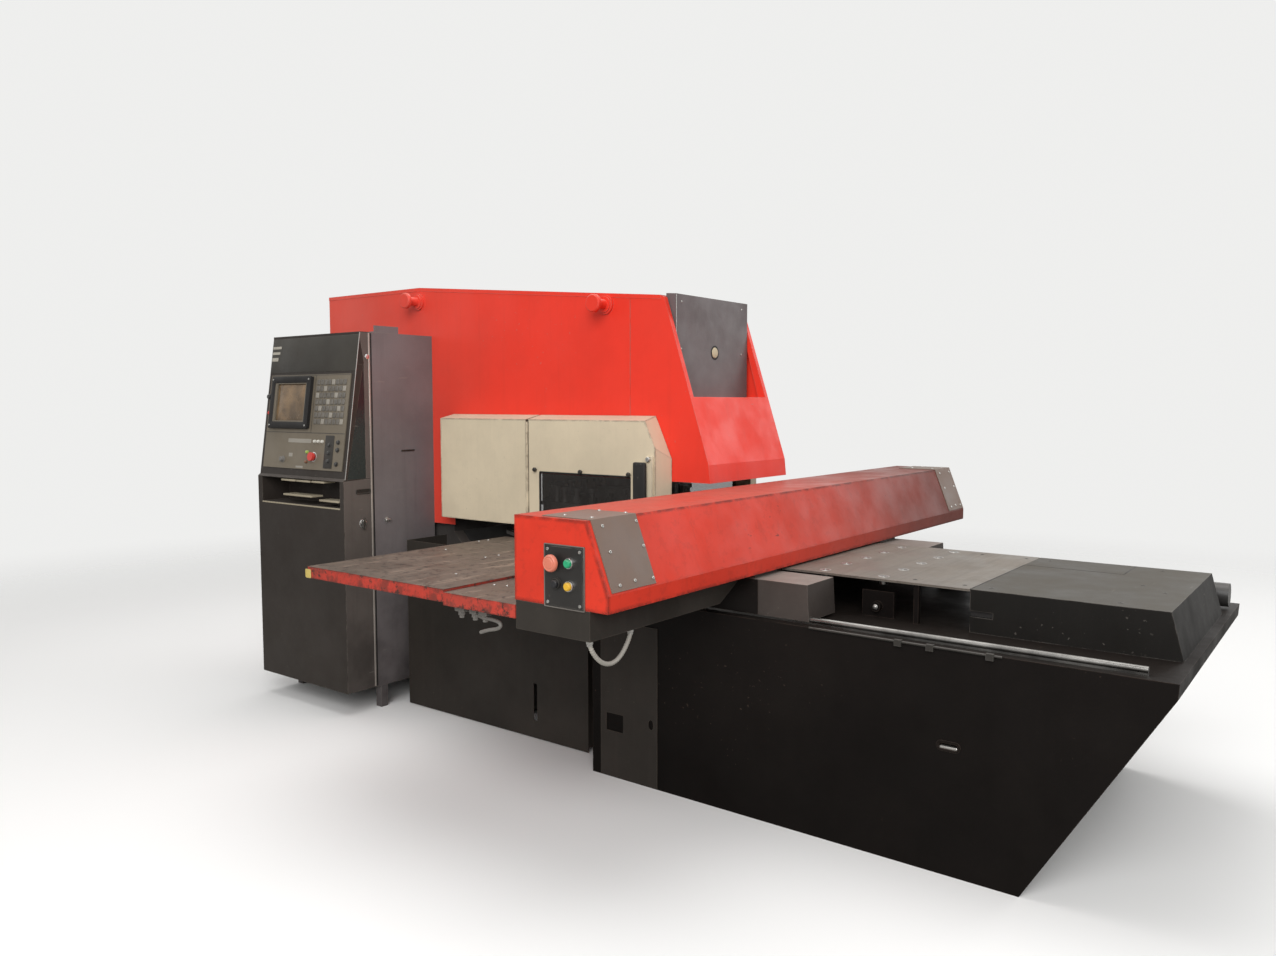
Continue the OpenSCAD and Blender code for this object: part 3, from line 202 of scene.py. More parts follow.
def set_in(name, shapes, material, body):
    """Joins the shapes into one mesh, merges the points that meet at poles, turns the faces outwards, keeps
    edges over 35 degrees sharp and lets the piece ride on a body of the press."""
    starts = np.cumsum([0] + [len(points) for points, _, _ in shapes])
    faces = [f for s, (_, quads, _) in zip(starts, shapes) for f in (quads + s).tolist()]
    faces += [(lid + s).tolist() for s, (_, _, lids) in zip(starts, shapes) for lid in lids]
    mesh = bpy.data.meshes.new(name)
    mesh.from_pydata(np.vstack([points for points, _, _ in shapes]).tolist(), [], faces)
    solid = bmesh.new()
    solid.from_mesh(mesh)
    bmesh.ops.remove_doubles(solid, verts=solid.verts, dist=2e-6)
    bmesh.ops.recalc_face_normals(solid, faces=solid.faces)
    solid.to_mesh(mesh)
    solid.free()
    mesh.shade_smooth()
    mesh.set_sharp_from_angle(angle=math.radians(35))
    mesh.materials.append(material)
    piece = bpy.data.objects.new(name, mesh)
    scene.collection.objects.link(piece)
    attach(piece, body)
    return piece


def eased(knots, per):
    """A smooth curve through the knots: between two of them it is the cubic of the four nearest knots."""
    wide = np.vstack([2 * knots[0] - knots[1], knots, 2 * knots[-1] - knots[-2]])
    t = np.linspace(0, 1, per, endpoint=False)[:, None, None]
    a, b, c, d = wide[:-3], wide[1:-2], wide[2:-1], wide[3:]
    bend, twist = 2 * a - 5 * b + 4 * c - d, 3 * b - a - 3 * c + d
    runs = 0.5 * (2 * b + (c - a) * t + bend * t ** 2 + twist * t ** 3)
    return np.vstack([runs.transpose(1, 0, 2).reshape(-1, 3), knots[-1:]])


def along(path, radius, n=12, across=(0, 1, 0)):
    """Carries a circle of n points along a path, square to it; the radius may change from point to point."""
    ahead = np.gradient(path, axis=0)
    ahead /= np.linalg.norm(ahead, axis=1, keepdims=True)
    u = np.cross(ahead, np.array(across, float))
    u /= np.linalg.norm(u, axis=1, keepdims=True)
    v = np.cross(ahead, u)
    a = np.arange(n)[:, None] * 2 * np.pi / n
    r = np.broadcast_to(radius, len(path))[:, None, None]
    return skinned(path[:, None] + r * (np.cos(a) * u[:, None] + np.sin(a) * v[:, None]))


def turned(profile, place, axis, n=20, ring=False):
    """Turns rows of (radius, height) about an axis: each row is a circle of n points at its height."""
    axis = np.array(axis, float) / np.linalg.norm(axis)
    u = np.cross(axis, (0, 0, 1) if abs(axis[2]) < 0.9 else (1, 0, 0))
    u /= np.linalg.norm(u)
    a = np.arange(n)[:, None] * 2 * np.pi / n
    spoke = np.cos(a) * u + np.sin(a) * np.cross(axis, u)
    rows = np.array(profile, float)[:, :, None, None]
    return skinned(np.array(place) + rows[:, 1] * axis + rows[:, 0] * spoke, ring)


hose_knots = np.array([(-1486, -740, 796), (-1486, -740, 785), (-1479, -742, 766), (-1466, -743, 748),
                       (-1450, -744, 732), (-1430, -744, 719), (-1408, -744, 711), (-1386, -744, 709),
                       (-1364, -744, 713), (-1344, -743, 722), (-1326, -742, 735), (-1311, -741, 750),
                       (-1297, -740, 767), (-1289, -740, 785), (-1289, -740, 796)]) / 1000
hose_path = eased(hose_knots, 16)
hose_run = np.concatenate([[0], np.cumsum(np.linalg.norm(np.diff(hose_path, axis=0), axis=1))])
hose_grey = finish("hose_grey", (0.36, 0.34, 0.30), 0.5, dust=0.2, worn=0.0, streak=0.0, grime_and_shade=0.0)
hose_r, rib_h, rib_pitch = 0.0070, 0.0005, 0.009
hose_ribs = hose_r + rib_h * np.cos(hose_run * 2 * np.pi / rib_pitch)
hose = set_in("button_hose", [along(hose_path, hose_ribs, 14)], hose_grey, "y_carriage")
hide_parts("conduit_loop")
gland = [(0.0115, -0.001), (0.0115, 0.008), (0.0095, 0.010), (0.0095, 0.015), (0.0078, 0.017)]
zinc_and_highlight = finish("zinc_plate_and_highlight", (0.42, 0.41, 0.39), 0.32, metal=0.85, vary=0.08, dust=0.08, worn=0.0, streak=0.0,
              grime_and_shade=0.0, scratch=0.1, orange=0.04)
set_in("hose_glands", [turned(gland, hose_knots[i], (0, 0, -1), 6) for i in (0, -1)], zinc_and_highlight, "y_carriage")


# The floor is one plain pale sheet that also closes the view behind the press.
# It keeps the press's soft shadow and thins out with distance into the pale hall behind.
def plain_floor(half=40, fade_start=3.2, fade_end=8.5):
    """A square at z = 0 that reaches half its side each way and thins out between two distances in metres."""
    mesh = bpy.data.meshes.new("floor")
    mesh.from_pydata([(-half, -half, 0), (half, -half, 0), (half, half, 0), (-half, half, 0)], [],
                     [(0, 1, 2, 3)])
    obj = bpy.data.objects.new("floor", mesh)
    scene.collection.objects.link(obj)
    pale = bpy.data.materials.new("pale_floor")
    pale.use_nodes = True
    tree = pale.node_tree
    matt = tree.nodes["Principled BSDF"]
    matt.inputs["Roughness"].default_value = 0.9
    matt.inputs["Specular IOR Level"].default_value = 0.1
    ray = tree.nodes.new("ShaderNodeLightPath")
    mix = tree.nodes.new("ShaderNodeMix")
    mix.data_type = "RGBA"
    mix.inputs[6].default_value = (0.50, 0.49, 0.47, 1)
    mix.inputs[7].default_value = (0.93, 0.925, 0.915, 1)
    tree.links.new(ray.outputs["Is Camera Ray"], mix.inputs[0])
    tree.links.new(mix.outputs[2], matt.inputs["Base Color"])
    far = tree.nodes.new("ShaderNodeVectorMath")
    far.operation = "LENGTH"
    tree.links.new(tree.nodes.new("ShaderNodeTexCoord").outputs["Object"], far.inputs[0])
    fade = tree.nodes.new("ShaderNodeMapRange")
    fade.interpolation_type = "SMOOTHSTEP"
    fade.inputs["From Min"].default_value = fade_start
    fade.inputs["From Max"].default_value = fade_end
    tree.links.new(far.outputs["Value"], fade.inputs["Value"])
    thin = tree.nodes.new("ShaderNodeMath")
    thin.operation = "MULTIPLY"
    tree.links.new(fade.outputs[0], thin.inputs[0])
    tree.links.new(ray.outputs["Is Camera Ray"], thin.inputs[1])
    shown = tree.nodes.new("ShaderNodeMixShader")
    tree.links.new(thin.outputs[0], shown.inputs[0])
    tree.links.new(matt.outputs[0], shown.inputs[1])
    tree.links.new(tree.nodes.new("ShaderNodeBsdfTransparent").outputs[0], shown.inputs[2])
    tree.links.new(shown.outputs[0], tree.nodes["Material Output"].inputs["Surface"])
    mesh.materials.append(pale)


plain_floor()

# Three large soft lamps stand for workshop windows and ceiling panels, over an even pale hall.
# The strongest one is up and to the front left, where the photo's light comes from.
for lamp, place, aim, size, watts in (
    ("window_lamp", (-6.0, -3.5, 4.4), (0, 0, 0.9), 4.5, 420),
    ("ceiling_lamp", (0.5, 1.0, 6.5), (0, 0, 0), 6.0, 260),
    ("far_lamp", (6.0, -4.0, 4.0), (0, -0.5, 1.0), 4.0, 130),
):
    light = bpy.data.lights.new(lamp, "AREA")
    light.shape = "SQUARE"
    light.size = size
    light.energy = watts
    obj = bpy.data.objects.new(lamp, light)
    obj.location = place
    obj.rotation_euler = (Vector(aim) - Vector(place)).to_track_quat("-Z", "Y").to_euler()
    scene.collection.objects.link(obj)
world = bpy.data.worlds.new("hall")
scene.world = world
world.use_nodes = True
hall = world.node_tree
lit = hall.nodes["Background"]
lit.inputs["Color"].default_value = (0.80, 0.80, 0.79, 1)
lit.inputs["Strength"].default_value = 0.42
seen = hall.nodes.new("ShaderNodeBackground")
seen.inputs["Color"].default_value = (0.86, 0.86, 0.85, 1)
rays = hall.nodes.new("ShaderNodeLightPath")
either = hall.nodes.new("ShaderNodeMath")
either.operation = "MAXIMUM"
any_of = hall.nodes.new("ShaderNodeMath")
any_of.operation = "MAXIMUM"
hall.links.new(rays.outputs["Is Camera Ray"], either.inputs[0])
hall.links.new(rays.outputs["Is Glossy Ray"], either.inputs[1])
hall.links.new(either.outputs[0], any_of.inputs[0])
hall.links.new(rays.outputs["Is Transmission Ray"], any_of.inputs[1])
shown = hall.nodes.new("ShaderNodeMixShader")
hall.links.new(any_of.outputs[0], shown.inputs[0])
hall.links.new(lit.outputs[0], shown.inputs[1])
hall.links.new(seen.outputs[0], shown.inputs[2])
hall.links.new(shown.outputs[0], hall.nodes["World Output"].inputs["Surface"])


# The front bed is a welded box of plate, painted nearly black and scuffed brown.
# A shallow pressed cup is a hand hold in each side, and a pale strip on its lower lip paints the highlight
# there.
# Three unions join the oil line along the left side, and a bolt holds each roller below the centre plate.
def wear_on(material, *nodes):
    """Gives the material to every slot of the CAD nodes named."""
    for name in nodes:
        mesh = part[name].data
        mesh.materials.clear()
        mesh.materials.append(material)


def pressed(w, h, r, rows, place, side, up, n=5, ring=False):
    """Stacks rounded rectangles: each row (inset, height) is the w x h outline with corners of radius r,
    drawn in by the inset and lifted along the face's normal by the height."""
    side, up = np.array(side, float), np.array(up, float)
    turn = (np.arange(4)[:, None] + np.linspace(0, 1, n)) * np.pi / 2
    sx, sy = np.array([1, -1, -1, 1])[:, None], np.array([1, 1, -1, -1])[:, None]
    inset, lift = np.array(rows, float).T[:, :, None, None]
    bend = np.maximum(r - inset, 2e-4)
    x = sx * (w / 2 - inset - bend) + bend * np.cos(turn)
    y = sy * (h / 2 - inset - bend) + bend * np.sin(turn)
    loops = np.array(place) + x[..., None] * side + y[..., None] * up + lift[..., None] * np.cross(side, up)
    return skinned(loops.reshape(len(rows), -1, 3), ring)


black_paint_and_shade = finish("black_bed_paint_and_shade", (0.006, 0.0045, 0.004), 0.45, film=0.10, dust=0.22,
                     dusty=(0.045, 0.036, 0.03), worn=0.6, bare=(0.07, 0.05, 0.04), streak=0.1, grime_and_shade=0.3,
                     grime_and_shade_tone=(0.003, 0.0025, 0.002), scratch=0.5, gloss=0.09)
wear_on(black_paint_and_shade, "front_bed")
bed_side, hold_y, hold_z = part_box("front_bed")[1][0], -1.54, 0.421
cup = [(0.012, -0.0165), (0.006, -0.0165), (0.0055, -0.001), (-0.004, -0.001), (-0.005, 0.001),
       (-0.004, 0.0025), (0.002, 0.0025), (0.004, 0.0005), (0.005, -0.013), (0.009, -0.0145)]
set_in("hand_holds", [pressed(0.070, 0.026, 0.013, cup, (s * bed_side, hold_y, hold_z),
                              (0, s, 0), (0, 0, 1), 9) for s in (-1, 1)], black_paint_and_shade, "frame")
# The pale strip on each cup's lower lip is a painted highlight.
highlight_lip = [(0.0, -0.012), (0.0, 0.0005), (0.0015, 0.0015)]
set_in("hand_hold_highlights", [pressed(0.056, 0.008, 0.003, highlight_lip, (s * bed_side, hold_y, hold_z - 0.005), (0, s, 0),
                             (0, 0, 1), 3) for s in (-1, 1)], zinc_and_highlight, "frame")
dark_steel = finish("blackened_steel", (0.030, 0.027, 0.024), 0.4, metal=0.5, vary=0.1, dust=0.1, worn=0.3,
                    bare=(0.2, 0.19, 0.17), streak=0.0, grime_and_shade=0.0)
wear_on(dark_steel, "oil_line")
union = [(0.0068, -0.007), (0.0074, -0.006), (0.0074, 0.006), (0.0068, 0.007)]
set_in("oil_unions", [turned(union, (-0.690, y, 0.733), (0, 1, 0), 6) for y in (-1.664, -1.476, -1.370)],
       zinc_and_highlight, "frame")
roller_bolt = [(0.0095, -0.001), (0.0095, 0.002), (0.0065, 0.003), (0.0065, 0.007), (0.005, 0.008)]
set_in("roller_bolts", [turned(roller_bolt, (s * 0.404, -1.165, 0.773), (s, 0, 0), 12) for s in (-1, 1)],
       zinc_and_highlight, "frame")

# Thin skirts hang below the tables along the frame, in the same dark paint gone grey.
# The duct box under the beam has it too.
skirt_paint = finish("skirt_paint", (0.028, 0.024, 0.020), 0.5, film=0.12, dust=0.25,
                     dusty=(0.12, 0.10, 0.085), worn=0.5, bare=(0.12, 0.10, 0.08), streak=0.2, grime_and_shade=0.4,
                     gloss=0.2)
wear_on(skirt_paint, "lower_side_panels", "lower_box")

# The centre plate and the front cover are steel sheet gone dull with mill dust, held by flush dark screws.
# Each ball transfer sits in a turned ring, and a thin seam marks the lid in the front cover.
# A black sheet in each flank of the cover paints the shade inside its slot.
plate_steel = finish("dusty_plate", (0.155, 0.135, 0.113), 0.48, metal=0.35, film=0.12, dust=0.45,
                     dusty=(0.20, 0.170, 0.138), worn=0.4, bare=(0.40, 0.37, 0.33), streak=0.0, grime_and_shade=0.0,
                     scratch=0.6, brushed=(2.5, 70, 70))
wear_on(plate_steel, "centre_plate", "x_carriage", "left_jaw", "right_jaw")
cover_paint = finish("cover_paint", (0.009, 0.008, 0.007), 0.5, film=0.04, dust=0.6,
                     dusty=(0.078, 0.070, 0.057), top=(0.068, 0.061, 0.050), worn=0.5,
                     bare=(0.20, 0.18, 0.16), streak=0.05, grime_and_shade=0.1, scratch=0.4, gloss=0.15)
wear_on(cover_paint, "front_cover")


def screw(place, axis, r=0.006, h=0.003):
    """A round head with a socket: a profile that rises, rounds over and dips, turned about its axis."""
    return turned([(r, -0.0004), (r, h * 0.4), (r * 0.85, h * 0.85), (r * 0.5, h), (r * 0.45, h * 0.35),
                   (1e-6, h * 0.3)], place, axis, 14)


deck_top, ball_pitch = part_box("centre_plate")[1][2], 0.180
flush = [(x, y) for y in (-1.958, -1.56, -1.47, -1.294, -0.60) for x in (-0.362, 0.362)]
flush += [(0.003, -1.957), (-0.104, -2.040)]
set_in("plate_screws", [screw((x, y, deck_top), (0, 0, 1), 0.008, 0.0012) for x, y in flush],
       dark_steel, "frame")
ball_ring = [(0.0151, -0.0004), (0.0215, -0.0004), (0.0215, 0.0010), (0.0202, 0.0018), (0.0151, 0.0014)]
set_in("ball_rings", [turned(ball_ring, (i * ball_pitch - 0.010, y, deck_top), (0, 0, 1), 24, ring=True)
                      for i in range(-2, 3) for y in (-1.18, -0.95)], zinc_and_highlight, "frame")
rubber_and_shade = finish("black_rubber_and_shade", (0.014, 0.013, 0.013), 0.6, film=0.12, dust=0.25, dusty=(0.10, 0.09, 0.08),
                worn=0.0, streak=0.0, grime_and_shade=0.0, gloss=0.3)
seam = [(0, -0.0004), (0, 0.0004), (0.0004, 0.0006)]
lid_lines = ((0.222, 0.0040, 0.309, -1.858), (0.0026, 0.349, 0.198, -1.6835),
             (0.620, 0.0050, -0.111, -1.5085))
set_in("lid_seams", [pressed(w, h, 0.001, seam, (x, y, deck_top), (1, 0, 0), (0, 1, 0), 2)
                     for w, h, x, y in lid_lines], rubber_and_shade, "frame")
set_in("cover_slot_shades", [pressed(0.072, 0.017, 0.001, [(0.0, -0.0004), (0.0, 0.0006)],
                               (s * 0.4122, -1.547, 0.797), (0, s, 0), (0, 0, 1), 2) for s in (-1, 1)],
       rubber_and_shade, "frame")

# The guide rods, rails, screws, ball transfers, ram and tools are ground steel under a film of oil and dust.
# The turrets, flywheel, pulley and feet are castings, machined where they turn or seat.
ground = finish("ground_steel", (0.22, 0.215, 0.205), 0.30, metal=0.95, vary=0.35, patch=7.0, film=0.25,
                dust=0.25, dusty=(0.10, 0.085, 0.07), worn=0.0, streak=0.0, grime_and_shade=0.0, scratch=0.2,
                orange=0.03)
wear_on(ground, "y_rails", "x_rails", "y_screw", "x_screw", "ball_transfers", "ram", "punches",
        "station_punch", "dies", "crank_shaft", "door_latch")
cast = finish("machined_casting", (0.22, 0.205, 0.19), 0.45, metal=0.55, dust=0.3, worn=0.5,
              bare=(0.45, 0.43, 0.40), streak=0.05, grime_and_shade=0.1)
wear_on(cast, "upper_turret", "lower_turret", "turret_drive_shaft", "connecting_rod", "flywheel",
        "motor_pulley", "leveling_feet", "turret_chains")

# The guide blocks are cast carriages with dusty machined faces that ride on the rods under the beam.
# A black plate on the outer face of each paints the beam's shade over the block's rear end.
block_grey = finish("block_grey", (0.044, 0.035, 0.031), 0.5, film=0.12, dust=0.8, dusty=(0.30, 0.26, 0.23),
                    worn=0.4, bare=(0.25, 0.22, 0.19), streak=0.1, grime_and_shade=0.0, gloss=0.2)
wear_on(block_grey, "guide_blocks")
block_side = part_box("guide_blocks")[1][0]
set_in("block_shade_plates", [pressed(0.356, 0.126, 0.004, [(0.0, -0.0004), (0.0, 0.0015), (0.001, 0.0022)],
                                  (s * block_side, -0.650, 0.808), (0, s, 0), (0, 0, 1), 3) for s in (-1, 1)],
       black_paint_and_shade, "y_carriage")

# The arm covers and the nose hood are folded sheet in a warm red, fixed to short bars on the frame.
# The top sheet's edge is bent down over each cheek, from the nose to the back.
red_paint = finish("press_red", (0.82, 0.040, 0.020), 0.42, vary=0.06, patch=1.4, film=0.04, dust=0.35,
                   dusty=(0.50, 0.22, 0.17), worn=0.6, bare=(0.42, 0.24, 0.20), streak=0.06, grime_and_shade=0.10,
                   grime_and_shade_tone=(0.20, 0.025, 0.015), scratch=0.35, gloss=0.3,
                   drift=[("Y", 0.5, 2.1, 0.30, (0.50, 0.22, 0.17))])
wear_on(red_paint, "arm_side_covers", "arm_top_cover", "nose_cover", "lifting_bosses")
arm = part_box("arm_top_cover")
arm_front_z, arm_break_y = 1.955, 1.384
edge_y = np.array([arm[0][1], arm_break_y, arm[1][1]])
edge_z = np.array([arm_front_z, arm[1][2], arm[1][2]])
flange = np.array([(0.0020, 0.0004), (0.0020, -0.0170), (0.0002, -0.0175), (-0.0010, -0.0170),
                   (-0.0010, 0.0004)])
set_in("top_flanges", [
    skinned(np.stack([np.broadcast_to(s * (arm[1][0] + flange[:, 0]), (3, 5)),
                      np.broadcast_to(edge_y[:, None], (3, 5)), edge_z[:, None] + flange[:, 1]], -1))
    for s in (-1, 1)], red_paint, "frame")

# The beam's cover is one folded sheet in a darker red, with rounded and scuffed edges.
# Dust thickens along it, and its colour darkens towards its far end.
beam_red = finish("beam_red", (0.66, 0.045, 0.024), 0.42, vary=0.07, patch=2.8, film=0.04, dust=0.50,
                  dusty=(0.30, 0.135, 0.105), worn=0.95, bare=(0.07, 0.024, 0.02), streak=0.08, grime_and_shade=0.0,
                  scratch=0.9, gloss=0.09, edge_r=0.015, chips=0.10, cut=(14, 75, 12),
                  drift=[("X", -1.1, 1.6, 0.62, (0.30, 0.135, 0.105)),
                         ("X", -0.5, 1.3, 0.78, (0.050, 0.028, 0.024))])
wear_on(beam_red, "beam_cover")

# Two saddle plates of oiled brown sheet wrap the beam's ridge, one near each end.
# Round-headed screws hold each plate in two columns, down the slope and across the flat top.
saddle_steel = finish("saddle_steel", (0.155, 0.100, 0.075), 0.5, metal=0.1, vary=0.15, patch=5.0, film=0.15,
                      dust=0.4, dusty=(0.16, 0.14, 0.115), worn=0.5, bare=(0.22, 0.19, 0.16), streak=0.1,
                      grime_and_shade=0.0, scratch=0.6)
wear_on(saddle_steel, "saddle_plates")
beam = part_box("beam_cover")
saddle_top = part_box("saddle_plates")[1][2]
beam_lean, beam_slope = math.radians(21.25), 0.2248
down = np.array([0.0, -math.sin(beam_lean), -math.cos(beam_lean)])
proud = np.array([0.0, -math.cos(beam_lean), math.sin(beam_lean)])
ridge = np.array([0.0, -0.738, beam[1][2]])
screw_columns = (-1.437, -1.272, 1.335, 1.470)
slope_spots = [(x, share) for x in screw_columns for share in (0.10, 0.46, 0.92)]
slope_spots += [(-1.362, 0.90), (1.400, 0.90)]
slope_screws = [screw((x, 0, 0) + ridge + down * share * beam_slope + proud * 0.003, proud)
                for x, share in slope_spots]
top_screws = [screw((x, y, saddle_top), (0, 0, 1)) for x in screw_columns for y in (-0.708, -0.600)]
set_in("saddle_screws", slope_screws + top_screws, zinc_and_highlight, "y_carriage")

# The button panel is a black plate in a slim pressed rim on the beam's end, with a screw in each corner.
# The green and the yellow button stand in chromed collars, and the stop button is a faded mushroom.
panel_black = finish("panel_black", (0.012, 0.011, 0.010), 0.4, film=0.15, dust=0.3, dusty=(0.12, 0.10, 0.08),
                     worn=0.3, streak=0.0, grime_and_shade=0.0, scratch=0.6)
wear_on(panel_black, "button_panel")
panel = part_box("button_panel")
panel_y, panel_z = (panel[0][1] + panel[1][1]) / 2, (panel[0][2] + panel[1][2]) / 2
beam_end, plate_face = beam[0][0], beam[0][0] - 0.005
rim = [(-0.0005, -0.001), (-0.0005, 0.0042), (0.0004, 0.0050), (0.0022, 0.0050), (0.0032, 0.0040),
       (0.0032, -0.001)]
set_in("panel_rim",
       [pressed(0.161, 0.194, 0.003, rim, (beam_end, panel_y, panel_z), (0, -1, 0), (0, 0, 1), 3, ring=True)],
       finish("rim_grey", (0.16, 0.145, 0.13), 0.45, metal=0.4, worn=0.0, grime_and_shade=0.0), "y_carriage")
set_in("panel_screws", [screw((plate_face, panel_y + a, panel_z + b), (-1, 0, 0), 0.0055)
                        for a in (-0.064, 0.064) for b in (-0.081, 0.081)], zinc_and_highlight, "y_carriage")
chrome = finish("chrome", (0.72, 0.72, 0.71), 0.14, metal=1.0, vary=0.04, film=0.0, dust=0.05, worn=0.0,
                streak=0.0, grime_and_shade=0.0, scratch=0.05, orange=0.0)
collar = [(0.0168, -0.0005), (0.0170, 0.008), (0.0157, 0.0103), (0.0140, 0.0103), (0.0131, 0.009),
          (0.0131, -0.0005)]
set_in("button_collars", [turned(collar, (plate_face, y, z), (-1, 0, 0), 28, ring=True)
                          for y, z in ((-0.680, 1.026), (-0.680, 0.957))], chrome, "y_carriage")
set_in("mode_collar", [turned(collar, (plate_face, -0.628, 0.960), (-1, 0, 0), 28, ring=True)], dark_steel,
       "y_carriage")
salmon = finish("stop_salmon", (0.66, 0.19, 0.12), 0.35, vary=0.08, film=0.10, dust=0.2, worn=0.3,
                bare=(0.70, 0.36, 0.26), streak=0.0, grime_and_shade=0.0, scratch=0.2)
wear_on(salmon, "stop_button")
mushroom = [(0.012, 0.0), (0.0235, 0.0), (0.0265, 0.003), (0.0268, 0.008), (0.0250, 0.013), (0.0215, 0.0158),
            (0.0190, 0.0146), (0.0165, 0.0148), (0.0150, 0.0166), (1e-6, 0.0178)]
set_in("stop_cap", [turned(mushroom, (-1.5195, -0.6205, 1.023), (-1, 0, 0), 32)], salmon, "stop_button")
for shade, name, colour in (
    ("start_green", "start_button", (0.02, 0.36, 0.16)),
    ("reset_yellow", "reset_button", (0.72, 0.42, 0.03)),
    ("mode_black", "mode_button", (0.012, 0.012, 0.014)),
):
    wear_on(finish(shade, colour, 0.32, vary=0.06, film=0.05, dust=0.2, worn=0.0, streak=0.0, grime_and_shade=0.0,
                   scratch=0.0), name)

# The side tables are folded trays: red sides with chipped edges, and a top scoured brown by sheets.
# Small round studs stand on each top, most of them in pairs.
# A dab of yellow paint marks the left table's rear corner.
table_skin = finish("table_skin", (0.50, 0.045, 0.028), 0.5, vary=0.15, patch=6.0, film=0.12, dust=0.25,
                    dusty=(0.27, 0.205, 0.155), worn=0.95, gloss=0.3, bare=(0.035, 0.025, 0.020), streak=0.2,
                    grime_and_shade=0.0, scratch=0.8, brushed=(2.6, 17, 17), top=(0.070, 0.053, 0.042), edge_r=0.010,
                    chips=0.85)
wear_on(table_skin, "side_tables")
table_end, table_top, step_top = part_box("side_tables")[0][0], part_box("side_tables")[1][2], 0.871
stud_spots = [(0.934, 0.277, table_top), (0.863, 0.274, table_top), (0.628, 0.640, table_top),
              (0.579, 0.630, table_top), (1.268, 0.082, table_top), (0.887, 0.568, table_top),
              (1.301, -0.150, step_top), (1.288, -0.200, step_top)]
set_in("yellow_dab", [pressed(0.036, 0.034, 0.006, [(0.0, -0.0003), (0.0, 0.0004), (0.002, 0.0006)],
                              (table_end, 0.655, 0.853), (0, -1, 0), (0, 0, 1))],
       finish("yellow_dab_paint", (0.60, 0.46, 0.12), 0.5, dust=0.2, grime_and_shade=0.0, chips=0.5), "y_carriage")
set_in("table_studs", [screw((s * x, y, z), (0, 0, 1), 0.0055, 0.003)
                       for s in (-1, 1) for x, y, z in stud_spots], zinc_and_highlight, "y_carriage")

# A small valve with a bent tube lever hangs under the left step piece, beside two pipe fittings.
# The lever is one steel tube bent back on itself.
lever_grey = finish("lever_grey", (0.15, 0.14, 0.128), 0.5, dust=0.2, worn=0.3, streak=0.0, grime_and_shade=0.0)
valve_x, valve_ys = -1.452, (-0.150, -0.215, -0.262)
valve_rows = [(0.001, 0.0), (0.0, -0.001), (0.0, -0.060), (0.002, -0.062)]
valves = [pressed(w, 0.030, 0.004, valve_rows, (valve_x, y, 0.866), (0, -1, 0), (1, 0, 0), 3)
          for w, y in zip((0.046, 0.034, 0.040), valve_ys)]
nut = [(0.013, 0.0), (0.013, -0.012), (0.009, -0.014), (0.009, -0.022)]
nuts = [turned(nut, (valve_x, y, 0.8045), (0, 0, 1), 6) for y in valve_ys]
lever_path = eased(np.array([(-1.452, -0.225, 0.800), (-1.458, -0.262, 0.797), (-1.462, -0.310, 0.797),
                             (-1.463, -0.338, 0.792), (-1.463, -0.342, 0.780), (-1.463, -0.325, 0.770),
                             (-1.463, -0.285, 0.760), (-1.463, -0.250, 0.748)]), 6)
set_in("step_valves", valves + nuts + [along(lever_path, 0.0062, 10, (1, 0, 0))], lever_grey, "y_carriage")

# The head's front panel is a dark plate with a round hole, and a cream cap shows behind the hole.
# The cap's flange is fixed to the back of the plate.
head_paint = finish("head_paint", (0.125, 0.100, 0.101), 0.5, film=0.12, dust=0.4, dusty=(0.16, 0.14, 0.13),
                    worn=0.4, bare=(0.2, 0.18, 0.16), streak=0.08, grime_and_shade=0.0)
wear_on(head_paint, "head_front_panel")
panel_face, hole_x, hole_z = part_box("head_front_panel")[0][1], 0.012, 1.725
cap_cream = finish("cap_cream", (0.55, 0.46, 0.30), 0.5, dust=0.1, worn=0.0, streak=0.0, grime_and_shade=0.0)
set_in("head_cap", [turned([(0.0235, -0.002), (0.0235, 0.002), (0.0215, 0.0045), (0.017, 0.0055),
                            (1e-6, 0.006)], (hole_x, panel_face + 0.0015, hole_z), (0, -1, 0), 28)],
       cap_cream, "frame")
# A black ring around the cap paints the shade inside the hole.
set_in("hole_shade_ring", [turned([(0.0240, -0.0005), (0.0318, -0.0005), (0.0318, 0.0008), (0.0306, 0.0012),
                             (0.0240, 0.0010)], (hole_x, panel_face, hole_z), (0, -1, 0), 32, ring=True)],
       rubber_and_shade, "frame")
# A pale line along the fold at the panel's left paints the highlight on the bend.
set_in("panel_fold_highlight",
       [pressed(0.0030, 0.270, 0.001, seam, (-0.2848, panel_face, 1.823), (1, 0, 0), (0, 0, 1), 2)], zinc_and_highlight,
       "frame")
corner_spots = ((-0.247, 1.732), (0.235, 1.726), (-0.247, 1.93), (0.235, 1.93))
set_in("head_screws", [screw((x, panel_face, z), (0, -1, 0), 0.0045, 0.002) for x, z in corner_spots],
       zinc_and_highlight, "frame")

# The turret guards and their doors are folded sheet in a cream paint that has gone grey at the edges.
# Each door has a dark pane in a rubber strip, three small pins above it, a black grip and a latch plate.
cream_paint = finish("guard_cream", (0.68, 0.58, 0.42), 0.5, vary=0.07, film=0.10, dust=0.30,
                     dusty=(0.50, 0.44, 0.35), worn=0.9, bare=(0.20, 0.16, 0.12), streak=0.05, grime_and_shade=0.0,
                     grime_and_shade_tone=(0.30, 0.25, 0.18), gloss=0.35, edge_r=0.010, chips=0.03)
wear_on(cream_paint, "left_turret_guard", "right_turret_guard", "left_turret_door", "right_turret_door")
pane = finish("window_sheet", (0.024, 0.020, 0.018), 0.22, vary=0.1, film=0.10, dust=0.3,
              dusty=(0.12, 0.11, 0.10), worn=0.0, streak=0.05, grime_and_shade=0.0, see=0.48)
wear_on(pane, "left_window", "right_window")
